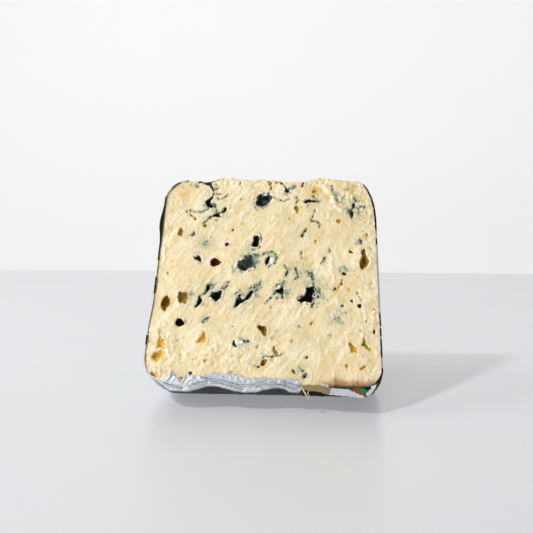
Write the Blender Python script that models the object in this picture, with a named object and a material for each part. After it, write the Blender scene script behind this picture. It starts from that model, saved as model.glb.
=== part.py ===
"""A wedge of blue cheese cut from a round wheel, standing on the rind of the wheel's rim.

The wheel's axis lies along X, level with the wedge's sharp top edge.  A place on the wedge is given
by `across` (along the axis, left to right), `down` (from the axis towards the rim) and `turn` (the
angle round the axis: minus HALF_ANGLE is the front cut, plus HALF_ANGLE the back one).
Torn foil still wraps the rim and both flat sides, and a printed label lies over each foil side.
"""

import math
import random

import bmesh
import bpy
from mathutils import Matrix, Vector, noise

MM = 0.001

# The wheel and the cut, in millimetres and degrees
WHEEL_RADIUS = 96.2
HALF_WIDTH_AT_RIM = 49.2
HALF_WIDTH_AT_AXIS = 46.8
HALF_ANGLE = math.radians(28)
AXIS_HEIGHT = 95.5
TIP_HALF_THICKNESS = 0.5

# Corners of the cut face: how far each reaches along the edge across, and down the side
TOP_LEFT_CORNER = (8.5, 9.5)
TOP_RIGHT_CORNER = (7.5, 22.0)
RIM_LEFT_CORNER = (9.0, 9.0)
RIM_RIGHT_CORNER = (5.5, 6.0)

# Sheets that lie on the cheese
CLEARANCE = 0.3
FOIL_THICKNESS = 0.4
LABEL_THICKNESS = 0.35
CRUMPLE_HEIGHT = 0.55
CRUMPLE_SIZE = 9.0

# Cells of the grid that the cheese and its sheets share
CELLS_ACROSS = 20
CELLS_DOWN = 20
CELLS_TURNED = 8
FOIL_TOP_CELL = 1
LABEL_TOP_CELL = 2
LABEL_TONGUE_LAYERS = 2

# The paste's relief
PASTE_SWELL = 0.35
PASTE_SWELL_SIZE = 11.0
CRUMBLE_HEIGHT = 0.5
TOP_EDGE_DROP = 1.1
TOP_EDGE_RAGGEDNESS = 0.8
TOP_EDGE_TOOTH = 6.0
# The ragged top edge fades into the section this far down
TOP_EDGE_FADE = 14.0

# Ripening holes of the front cut: across, down, width, height, and lean in degrees anticlockwise
BLUE_HOLES = (
    (-2.3, 10.9, 7.7, 6.2, 20),
    (-26.7, 12.4, 3.8, 4.2, -30),
    (-23.2, 18.4, 4.0, 3.0, 0),
    (-34.5, 18.5, 4.4, 2.0, -40),
    (18.9, 11.1, 7.4, 2.2, 8),
    (37.2, 15.8, 3.2, 6.6, -15),
    (16.0, 26.7, 2.4, 6.0, -30),
    (-4.8, 31.6, 3.6, 5.4, -10),
    (-17.9, 32.4, 2.0, 3.2, 0),
    (-30.3, 40.0, 3.2, 2.2, -25),
    (-8.6, 41.7, 8.4, 7.2, 30),
    (0.5, 40.2, 2.8, 5.8, -20),
    (-25.1, 53.1, 3.6, 4.6, -20),
    (-21.4, 56.7, 5.6, 4.4, 35),
    (-28.1, 59.1, 2.8, 4.6, 0),
    (-12.1, 59.8, 4.4, 4.8, 0),
    (-7.1, 55.7, 3.6, 8.0, -38),
    (6.6, 54.6, 4.2, 3.4, -30),
    (17.8, 55.4, 6.8, 7.8, -35),
    (0.3, 85.9, 2.6, 4.8, -20),
    (-12.0, 78.1, 2.4, 4.2, -20),
    (16.5, 90.6, 3.6, 2.2, -20),
)
BARE_HOLES = (
    (-22.3, 41.3, 4.6, 4.2, 0),
    (-43.3, 60.7, 4.0, 7.0, -10),
    (-35.6, 58.3, 4.6, 5.6, -15),
    (-36.1, 69.2, 4.2, 3.8, 0),
    (-38.9, 26.7, 2.6, 5.0, -10),
    (-28.3, 23.4, 2.8, 3.0, 0),
    (-0.6, 72.3, 3.6, 5.0, 0),
    (-26.2, 75.7, 3.6, 4.6, 0),
    (-43.8, 79.9, 4.4, 11.4, -8),
    (5.1, 80.9, 2.0, 4.6, 25),
    (43.0, 77.7, 2.2, 4.2, 40),
    (37.7, 79.5, 3.0, 5.4, 20),
    (41.1, 88.0, 3.4, 2.2, 0),
    (42.2, 40.8, 4.0, 9.0, 0),
    (12.2, 15.4, 2.4, 4.6, -10),
    (21.1, 7.8, 3.8, 4.4, 20),
)

# Holes over this many square millimetres are modelled with more faces
BIG_HOLE_AREA = 13.0
# How uneven a hole's blob is, and the part of its depth that its middle lies under the cut
HOLE_LUMPS = 0.28
HOLE_SUNK = 0.12

# Ripening holes of the back cut, drawn at random
BACK_SEED = 28
BACK_HOLES = 34
BACK_HOLE_WIDTH = (2.4, 7.4)
BACK_HOLE_STRETCH = (0.8, 1.7)
BACK_HOLE_HEIGHT_LIMIT = 9.0
BACK_HOLE_LEAN = 45
# The part of the back cut's width that its holes keep to
BACK_HOLE_SPREAD = 0.88
BACK_HOLE_SPACING = 9.0
BACK_EDGE_MARGIN = 7.0

# Foil along the front and back cuts
LIP_HEIGHT = 4.0
LIP_RAGGEDNESS = 1.2
LIP_TOOTH = 5.0
SIDE_LIP = 0.5
FOLD_DROOP = 2.2
FOLD_REACH = math.radians(9)
FOLDS = ((-21.5, 9.5), (6.5, 7.5))
LABEL_TORN_AT = 14.0
LABEL_DROOP = 3.4
LEFT_BULGE_DOWN = 24.0
LEFT_BULGE_REACH = 9.0
LEFT_BULGE_HEIGHT = 1.3


def clear_scene():
    for thing in list(bpy.data.objects):
        bpy.data.objects.remove(thing, do_unlink=True)


def smooth_step(low, high, value):
    """0 below low, 1 above high, and a smooth rise between them."""
    part = min(1.0, max(0.0, (value - low) / (high - low)))
    return part * part * (3 - 2 * part)


def ripple(x, y, size, seed):
    """Smooth noise between about -1 and 1 that changes over the given size."""
    return noise.noise(Vector((x / size, y / size, seed * 7.3))) * 1.6


# ---------------------------------------------------------------- the wedge's own form


def top_edge(across):
    """How far below the wheel's axis the crumbled top edge lies."""
    teeth = ripple(across, 0.0, TOP_EDGE_TOOTH, 3) + 0.5 * ripple(across, 0.0, TOP_EDGE_TOOTH / 2.4, 4)
    return TOP_EDGE_DROP + TOP_EDGE_RAGGEDNESS * teeth


def section_point(s, t):
    """A point (across, down) of the cut face from s and t, which run from -1 to 1 over a square.

    The square's corners are rounded by drawing each corner region into a quarter of an ellipse.
    """
    width = HALF_WIDTH_AT_AXIS + (HALF_WIDTH_AT_RIM - HALF_WIDTH_AT_AXIS) * (t + 1) / 2
    x = s * width
    y = (t + 1) / 2 * WHEEL_RADIUS
    if s < 0:
        reach_x, reach_y = TOP_LEFT_CORNER if t < 0 else RIM_LEFT_CORNER
    else:
        reach_x, reach_y = TOP_RIGHT_CORNER if t < 0 else RIM_RIGHT_CORNER
    from_side = (abs(x) - (width - reach_x)) / reach_x
    from_end = ((reach_y - y) if t < 0 else (y - (WHEEL_RADIUS - reach_y))) / reach_y
    if from_side > 0 and from_end > 0:
        shrink = max(from_side, from_end) / math.hypot(from_side, from_end)
        x = math.copysign(width - reach_x + reach_x * from_side * shrink, x)
        end = reach_y * from_end * shrink
        y = reach_y - end if t < 0 else WHEEL_RADIUS - reach_y + end
    ragged = 1 - smooth_step(0.0, TOP_EDGE_FADE, y)
    return x, y + ragged * top_edge(x)


def turned(across, down, turn, floor=0.0):
    """The world point, in millimetres, of a place on the wedge. Nothing passes below floor."""
    reach = math.hypot(down * math.sin(HALF_ANGLE), TIP_HALF_THICKNESS)
    y = reach * math.sin(turn) / math.sin(HALF_ANGLE)
    z = AXIS_HEIGHT - down * math.cos(turn)
    return Vector((across, y, max(z, floor)))


def face_normal(turn):
    """The outward normal of the cut at this turn."""
    side = math.copysign(1.0, turn)
    return Vector((0, side * math.cos(turn), abs(math.sin(turn))))


def paste_relief(across, down, side):
    """How far the cut surface stands out: slow swells from the wire, and crumble low down."""
    swell = PASTE_SWELL * ripple(across, down, PASTE_SWELL_SIZE, side * 2 + 1)
    low_left = smooth_step(70, 92, down) * smooth_step(12, -30, -across * side)
    crumble = CRUMBLE_HEIGHT * low_left * ripple(across, down, PASTE_SWELL_SIZE / 3, side + 9)
    return (swell + crumble) * smooth_step(0.5, 8, down)


def lattice_surface(counts):
    """The grid points on the outside of a block of cells, and its faces turned outwards."""
    points, faces = {}, []

    def number(place):
        return points.setdefault(place, len(points))

    for axis in range(3):
        first, second = (axis + 1) % 3, (axis + 2) % 3
        for end in (0, counts[axis]):
            for a in range(counts[first]):
                for b in range(counts[second]):
                    loop = []
                    for step_a, step_b in ((0, 0), (1, 0), (1, 1), (0, 1)):
                        place = [0, 0, 0]
                        place[axis], place[first], place[second] = end, a + step_a, b + step_b
                        loop.append(number(tuple(place)))
                    faces.append(loop if end else loop[::-1])
    return points, faces


def cheese_point(place):
    """The world point of a grid place (across, down, turn) on the outside of the cheese."""
    column, row, layer = place
    s = 2 * column / CELLS_ACROSS - 1
    t = 2 * row / CELLS_DOWN - 1
    across, down = section_point(s, t)
    turn = HALF_ANGLE * (2 * layer / CELLS_TURNED - 1)
    point = turned(across, down, turn, floor=FOIL_THICKNESS + CLEARANCE)
    if layer in (0, CELLS_TURNED) and 0 < column < CELLS_ACROSS and 0 < row < CELLS_DOWN:
        point += face_normal(turn) * paste_relief(across, down, math.copysign(1, turn))
    return point


def new_object(name, points, faces, material):
    """A mesh object from points in millimetres."""
    mesh = bpy.data.meshes.new(name)
    mesh.from_pydata([point * MM for point in points], [], faces)
    mesh.update()
    edit = bmesh.new()
    edit.from_mesh(mesh)
    bmesh.ops.recalc_face_normals(edit, faces=edit.faces)
    bmesh.ops.triangulate(edit, faces=edit.faces)
    edit.to_mesh(mesh)
    edit.free()
    thing = bpy.data.objects.new(name, mesh)
    bpy.context.scene.collection.objects.link(thing)
    mesh.shade_smooth()
    mesh.set_sharp_from_angle(angle=math.radians(40))
    mesh.materials.append(material)
    return thing


def make_cheese(material):
    places, faces = lattice_surface((CELLS_ACROSS, CELLS_DOWN, CELLS_TURNED))
    points = [cheese_point(place) for place in places]
    return new_object("cheese", points, faces, material)


# ---------------------------------------------------------------- ripening holes


def hole_depth(down, width, height):
    """A hole is about as deep as it is wide, and shallow where the wedge is thin."""
    thickness = 2 * down * math.sin(HALF_ANGLE)
    return min(0.9 * min(width, height) + 0.8, 0.3 * thickness)


def make_hole(name, place, turn, group):
    """An irregular blob that is cut out of the cheese at a place on the front or back cut."""
    across, down, width, height, lean = place
    edit = bmesh.new()
    bmesh.ops.create_icosphere(edit, subdivisions=2 if width * height > BIG_HOLE_AREA else 1, radius=1.0)
    depth = hole_depth(down, width, height)
    seed = across * 3.1 + down * 1.7
    for vertex in edit.verts:
        lump = 1 + HOLE_LUMPS * noise.noise(vertex.co * 1.7 + Vector((seed, 0, 0)))
        vertex.co = Vector(
            (vertex.co.x * width / 2 * lump, vertex.co.y * height / 2 * lump, vertex.co.z * depth * lump)
        )
    normal = face_normal(turn)
    right = Vector((-math.copysign(1.0, turn), 0, 0))
    basis = Matrix((right, normal.cross(right), normal)).transposed().to_4x4()
    centre = turned(across, down, turn) - normal * (HOLE_SUNK * depth)
    edit.transform(Matrix.Rotation(math.radians(lean), 4, "Z"))
    edit.transform(Matrix.Translation(centre) @ basis)
    bmesh.ops.scale(edit, vec=(MM, MM, MM), verts=edit.verts)
    mesh = bpy.data.meshes.new(name)
    edit.to_mesh(mesh)
    edit.free()
    hole = bpy.data.objects.new(name, mesh)
    hole.hide_render = True
    hole.display_type = "WIRE"
    group.objects.link(hole)


def back_hole_places():
    """Seeded holes, spaced apart and clear of the back cut's edges."""
    draw = random.Random(BACK_SEED)
    places = []
    while len(places) < BACK_HOLES:
        across = draw.uniform(-HALF_WIDTH_AT_AXIS, HALF_WIDTH_AT_AXIS) * BACK_HOLE_SPREAD
        down = draw.uniform(BACK_EDGE_MARGIN, WHEEL_RADIUS - BACK_EDGE_MARGIN)
        width = draw.uniform(*BACK_HOLE_WIDTH)
        height = width * draw.uniform(*BACK_HOLE_STRETCH)
        lean = draw.uniform(-BACK_HOLE_LEAN, BACK_HOLE_LEAN)
        if all(math.hypot(across - p[0], down - p[1]) > BACK_HOLE_SPACING for p in places):
            places.append((across, down, width, min(height, BACK_HOLE_HEIGHT_LIMIT), lean))
    return places


def cut_holes(cheese):
    group = bpy.data.collections.new("ripening_holes")
    bpy.context.scene.collection.children.link(group)
    for number, place in enumerate(BLUE_HOLES + BARE_HOLES):
        make_hole(f"front_hole_{number:02d}", place, -HALF_ANGLE, group)
    for number, place in enumerate(back_hole_places()):
        make_hole(f"back_hole_{number:02d}", place, HALF_ANGLE, group)
    cut = cheese.modifiers.new("holes", "BOOLEAN")
    cut.operation = "DIFFERENCE"
    cut.operand_type = "COLLECTION"
    cut.collection = group
    cut.solver = "EXACT"


# ---------------------------------------------------------------- foil and labels


def wrap_path():
    """Grid places (s, t) down the left side, along the rim and up the right side."""
    down = [(-1.0, 2 * row / CELLS_DOWN - 1) for row in range(FOIL_TOP_CELL, CELLS_DOWN)]
    along = [(2 * column / CELLS_ACROSS - 1, 1.0) for column in range(CELLS_ACROSS + 1)]
    up = [(1.0, t) for _, t in reversed(down)]
    return down + along + up


def path_points():
    """The wrap's path over the cheese's section, as (across, down) and its outward direction."""
    line = [Vector(section_point(s, t)) for s, t in wrap_path()]
    found = []
    for number, point in enumerate(line):
        before = line[max(number - 1, 0)]
        after = line[min(number + 1, len(line) - 1)]
        along = (after - before).normalized()
        found.append((point, Vector((-along.y, along.x))))
    return found


def crumple(across, down, turn):
    """How far the foil stands off the cheese in its creases."""
    arc = turn * WHEEL_RADIUS
    height = ripple(across + down, arc, CRUMPLE_SIZE, 5)
    return CRUMPLE_HEIGHT * max(0.0, height)


def fold_shape(across):
    """0 under an arched fold of the foil, 1 where the foil hangs slack between two folds."""
    slack = 1.0
    for centre, reach in FOLDS:
        slack = min(slack, smooth_step(0.0, 1.0, abs(across - centre) / reach))
    return slack * smooth_step(-44, -36, across) * smooth_step(LABEL_TORN_AT, LABEL_TORN_AT - 4, across)


def on_rim(direction):
    """1 where the wrap lies on the rim, 0 where it lies on a flat side."""
    return smooth_step(0.55, 0.95, direction.y)


def foil_lip(across, direction, side):
    """How far the torn foil reaches over the cut, up the face on the rim."""
    torn = LIP_HEIGHT + LIP_RAGGEDNESS * ripple(across, side * 30, LIP_TOOTH, 6)
    if side < 0:
        torn *= smooth_step(LABEL_TORN_AT + 2, LABEL_TORN_AT - 2, across)
    return SIDE_LIP + (torn - SIDE_LIP) * on_rim(direction)


def foil_stand_off(point, direction, turn):
    """The foil's height over the cheese: creases, and slack near the cuts between the folds."""
    near_cut = smooth_step(HALF_ANGLE - FOLD_REACH, HALF_ANGLE, abs(turn))
    slack = FOLD_DROOP * fold_shape(point.x) * on_rim(direction) * near_cut
    bulge = 0.0
    if point.x < 0 and turn < 0:
        place = (point.y - LEFT_BULGE_DOWN) / LEFT_BULGE_REACH
        bulge = LEFT_BULGE_HEIGHT * (1 - smooth_step(0, 1, abs(place))) * near_cut * (1 - on_rim(direction))
    return CLEARANCE + crumple(point.x, point.y, turn) * (1 - near_cut) + slack + bulge


def sheet_point(point, direction, turn, height, floor):
    """A point of a sheet that stands this high over the cheese."""
    place = point + direction * height
    return turned(place.x, place.y, turn, floor)


def foil_rows(point, direction, height, floor):
    """One column of a foil surface, from the lip over the back cut to the lip over the front one."""
    column = []
    for layer in range(CELLS_TURNED + 1):
        turn = HALF_ANGLE * (1 - 2 * layer / CELLS_TURNED)
        stand_off = foil_stand_off(point, direction, turn)
        column.append(sheet_point(point, direction, turn, stand_off + height, floor))
    back_lip = lip_points(point, direction, height, floor, 1)
    front_lip = lip_points(point, direction, height, floor, -1)
    return back_lip[::-1] + column + front_lip


def lip_points(point, direction, height, floor, side):
    """The crease in front of a cut and the torn edge above it."""
    turn = side * HALF_ANGLE
    normal = face_normal(turn)
    flat = on_rim(direction)
    stand_off = foil_stand_off(point, direction, turn)
    outside = CLEARANCE + PASTE_SWELL + CRUMBLE_HEIGHT * flat + height
    edge = sheet_point(point, direction, turn, stand_off + height, floor) + normal * outside * flat
    lip = foil_lip(point.x, direction, side)
    crease = edge + normal * (SIDE_LIP * (1 - flat) * 0.5)
    up_face = Vector((0, -math.sin(turn), math.cos(turn)))
    rise = (lip + (stand_off + height) * flat) * flat
    torn = crease + up_face * rise + normal * (SIDE_LIP * (1 - flat) * 0.5)
    return [crease, torn]


def sheet_solid(name, inner, outer, cells, material):
    """A closed sheet between two grids of points, over the given cells of the grid."""
    points, faces, sides = [], [], {}
    numbers = {}

    def number(layer, place):
        key = (layer, place)
        if key not in numbers:
            numbers[key] = len(points)
            points.append((inner, outer)[layer][place[0]][place[1]])
        return numbers[key]

    for a, b in sorted(cells):
        loop = [(a, b), (a + 1, b), (a + 1, b + 1), (a, b + 1)]
        faces.append([number(1, place) for place in loop])
        faces.append([number(0, place) for place in reversed(loop)])
        for start, end in zip(loop, loop[1:] + loop[:1]):
            if (end, start) in sides:
                del sides[(end, start)]
            else:
                sides[(start, end)] = True
    for start, end in sides:
        faces.append([number(1, end), number(1, start), number(0, start), number(0, end)])
    return new_object(name, points, faces, material)


def make_foil(material):
    path = path_points()
    inner = [foil_rows(point, direction, 0.0, FOIL_THICKNESS) for point, direction in path]
    outer = [foil_rows(point, direction, FOIL_THICKNESS, 0.0) for point, direction in path]
    cells = {(a, b) for a in range(len(path) - 1) for b in range(CELLS_TURNED + 4)}
    return sheet_solid("foil_wrap", inner, outer, cells, material)


def label_columns(path, height):
    """A label's surface follows the foil, and its torn tongue under the front edge hangs loose."""
    columns = []
    tongue_start = HALF_ANGLE * (1 - 2 * LABEL_TONGUE_LAYERS / CELLS_TURNED)
    for point, direction in path:
        column = []
        for layer in range(CELLS_TURNED + 1):
            turn = HALF_ANGLE * (1 - 2 * layer / CELLS_TURNED)
            loose = smooth_step(tongue_start, HALF_ANGLE, -turn)
            droop = LABEL_DROOP * loose * on_rim(direction) * smooth_step(0, 45, point.x)
            stand_off = foil_stand_off(point, direction, turn) + FOIL_THICKNESS + CLEARANCE
            column.append(sheet_point(point, direction, turn, stand_off + height + droop, 0.0))
        columns.append(column)
    return columns


def make_label(name, path, cells, material):
    inner = label_columns(path, 0.0)
    outer = label_columns(path, LABEL_THICKNESS)
    return sheet_solid(name, inner, outer, cells, material)


def make_labels(material):
    """A printed sheet on each flat side, clear of the floor.

    The right one is torn in front, where a tongue of it folds under the rim.
    """
    path = path_points()
    last = len(path) - 2
    side_cells = range(LABEL_TOP_CELL - FOIL_TOP_CELL, CELLS_DOWN - FOIL_TOP_CELL - 1)
    layers = range(CELLS_TURNED)
    left = {(a, b) for a in side_cells for b in layers}
    right = {(last - a, b) for a, b in left}
    torn = next(a for a, (point, _) in enumerate(path) if point.x > LABEL_TORN_AT)
    tongue = range(torn, last - side_cells[-1])
    right |= {(a, b) for a in tongue for b in layers[-LABEL_TONGUE_LAYERS:]}
    make_label("label_left", path, left, material)
    make_label("label_right", path, right, material)


# ---------------------------------------------------------------- materials


def plain_material(name, color, roughness, metallic=0.0):
    material = bpy.data.materials.new(name)
    material.use_nodes = True
    shader = material.node_tree.nodes["Principled BSDF"]
    shader.inputs["Base Color"].default_value = (*color, 1)
    shader.inputs["Roughness"].default_value = roughness
    shader.inputs["Metallic"].default_value = metallic
    return material


def main():
    clear_scene()
    paste = plain_material("blue_cheese_paste", (0.83, 0.68, 0.40), 0.5)
    foil = plain_material("aluminium_foil", (0.72, 0.74, 0.78), 0.32, 1.0)
    paper = plain_material("printed_label_paper", (0.03, 0.05, 0.04), 0.45)
    cut_holes(make_cheese(paste))
    make_foil(foil)
    make_labels(paper)


main()
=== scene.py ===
"""The looks of a blue cheese wedge that stands on its rim in torn foil.

The wheel's axis lies along X, level with the wedge's top edge.  A place on the wedge is given by
`across` (along the axis), `down` (from the axis towards the rim) and `turn` (the angle round the
axis: minus HALF_ANGLE is the front cut, plus HALF_ANGLE the back one).  Sizes are in millimetres.
"""

import math
import random

import bpy
import numpy as np
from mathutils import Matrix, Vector


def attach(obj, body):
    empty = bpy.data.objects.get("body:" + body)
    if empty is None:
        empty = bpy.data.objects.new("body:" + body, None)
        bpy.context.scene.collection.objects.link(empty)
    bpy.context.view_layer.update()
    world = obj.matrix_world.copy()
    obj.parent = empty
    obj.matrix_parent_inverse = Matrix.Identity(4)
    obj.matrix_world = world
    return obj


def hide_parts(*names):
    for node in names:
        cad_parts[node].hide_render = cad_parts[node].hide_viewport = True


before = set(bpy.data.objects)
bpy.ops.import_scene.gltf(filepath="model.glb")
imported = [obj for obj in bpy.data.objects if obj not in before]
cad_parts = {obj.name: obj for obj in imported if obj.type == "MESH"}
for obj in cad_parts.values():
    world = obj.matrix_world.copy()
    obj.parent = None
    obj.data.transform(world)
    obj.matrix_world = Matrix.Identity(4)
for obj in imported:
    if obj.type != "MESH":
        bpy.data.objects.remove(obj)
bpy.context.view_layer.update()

MM = 0.001

# The wheel and the cut, as in the solid model
WHEEL_RADIUS = 96.2
HALF_WIDTH_AT_RIM = 49.2
HALF_WIDTH_AT_AXIS = 46.8
HALF_ANGLE = math.radians(28)
AXIS_HEIGHT = 95.5
TIP_HALF_THICKNESS = 0.5
# The rounded corners, a little rounder than the solid model's: reach across, reach down
TOP_LEFT_CORNER = (9.6, 11.0)
TOP_RIGHT_CORNER = (7.5, 22.0)
RIM_LEFT_CORNER = (13.2, 11.5)
RIM_RIGHT_CORNER = (9.0, 7.5)
# The paste sags outward low on the left side: how far, and where that begins and is full
LEFT_HEEL = 0.9
LEFT_HEEL_DOWN = (58, 74)
# The solid model's gap between neighbours, and the thickness of its foil
CLEARANCE = 0.3
SOLID_FOIL = 0.4
# The papers pass no lower than this over the table
LABEL_FLOOR = 0.3
# Cells of the paste's skin: across, down, and from the front cut to the back one
CHEESE_CELLS = (200, 200, 18)

# Knife marks run up to the right over the front cut, and nearly upright near its right side
KNIFE_ANGLE = math.radians(56)
UPRIGHT_KNIFE_ANGLE = math.radians(92)
KNIFE_TURNS_AT = (14, 27)
# From where to where the marks come up at the left edge
KNIFE_STARTS_AT = (-49, -36)
# Their ridges and scratches: how far apart, how much longer than wide, and how high
KNIFE_MARKS = ((2.6, 6.0, 0.34), (0.9, 8.0, 0.15))
# How they bend, in long sways and short wavers: over what length, and how far
KNIFE_BENDS = ((14.0, 2.2), (4.0, 0.5))
# They are this strong everywhere, and stronger in patches of this size
KNIFE_LEAST = 0.3
KNIFE_PATCH_SIZE = 17.0
# How much whiter the paste is where it stands up: partly stretched paste, partly a painted
# highlight
KNIFE_WHITENING_AND_HIGHLIGHT = 1.7

# The cut paste's broad swell, the low waves on it, and its grain: size, and height
SWELL = (15.0, 0.45)
WAVES = (4.2, 0.10)
GRAIN_SIZE = 1.7
# Crumbs where the paste broke: size, and height
COARSE_CRUMBS = (1.9, 0.65)
FINE_CRUMBS = (1.0, 0.5)
CRUMBS_SUNK = 0.6
# The size of the flecks that a smear of mould breaks up into
FLECK_SIZE = 1.7

# The edge of a hole frays by this much, that of a light bare one more, over this size
FRAYING = 0.28
LIGHT_FRAYING = 0.55
FRAY_SIZE = 1.3
# How deep a hole is: this part of its width and this much more, but at most this part of the
# wedge's thickness there
HOLE_DEPTH_BY_WIDTH = 0.9
HOLE_DEPTH = 0.8
HOLE_DEPTH_LIMIT = 0.3
# Its floor is uneven: over what size, and by what part of the depth
FLOOR_LUMPS = (1.6, 0.4)
# The raised lip round a hole: how far outside its edge, how wide and how high
LIP_OUTSIDE = 0.45
LIP_WIDTH = 0.35
LIP_HEIGHT = 0.2
# Holes narrower than this have a lower lip and a fainter halo
FULL_LIP_AT = 2.5
# The depth of a crack, the most it is as a part of the wedge's thickness, and how low a line of
# mould lies
CRACK_DEPTH = 0.8
CRACK_DEPTH_LIMIT = 0.25
SMEAR_DEPTH = 0.15
# How light the lining of a rusty line is, and how much it colours the paste around it
RUST_TONE = 0.42
RUST_HALO = 0.45

# The two kinds of hole, and how they differ: the whiteness of the lip, and how much whiter it is
# where it tore, which is partly a painted highlight; how much lighter the lining is painted towards
# the light, as painted light and shade; the size and the strength of the lining's streaks; and how
# much it colours the paste around it
BARE, MOULDY = True, False
LIP_PALENESS_AND_HIGHLIGHT = {BARE: (0.25, 0.7), MOULDY: (0.7, 1.5)}
LINING_PAINTED_LIGHT = {BARE: 0.25, MOULDY: 0.45}
LINING_STREAKS = {BARE: (1.6, 0.15), MOULDY: (1.1, 0.6)}
HALO = {BARE: 0.5, MOULDY: 0.95}
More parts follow.
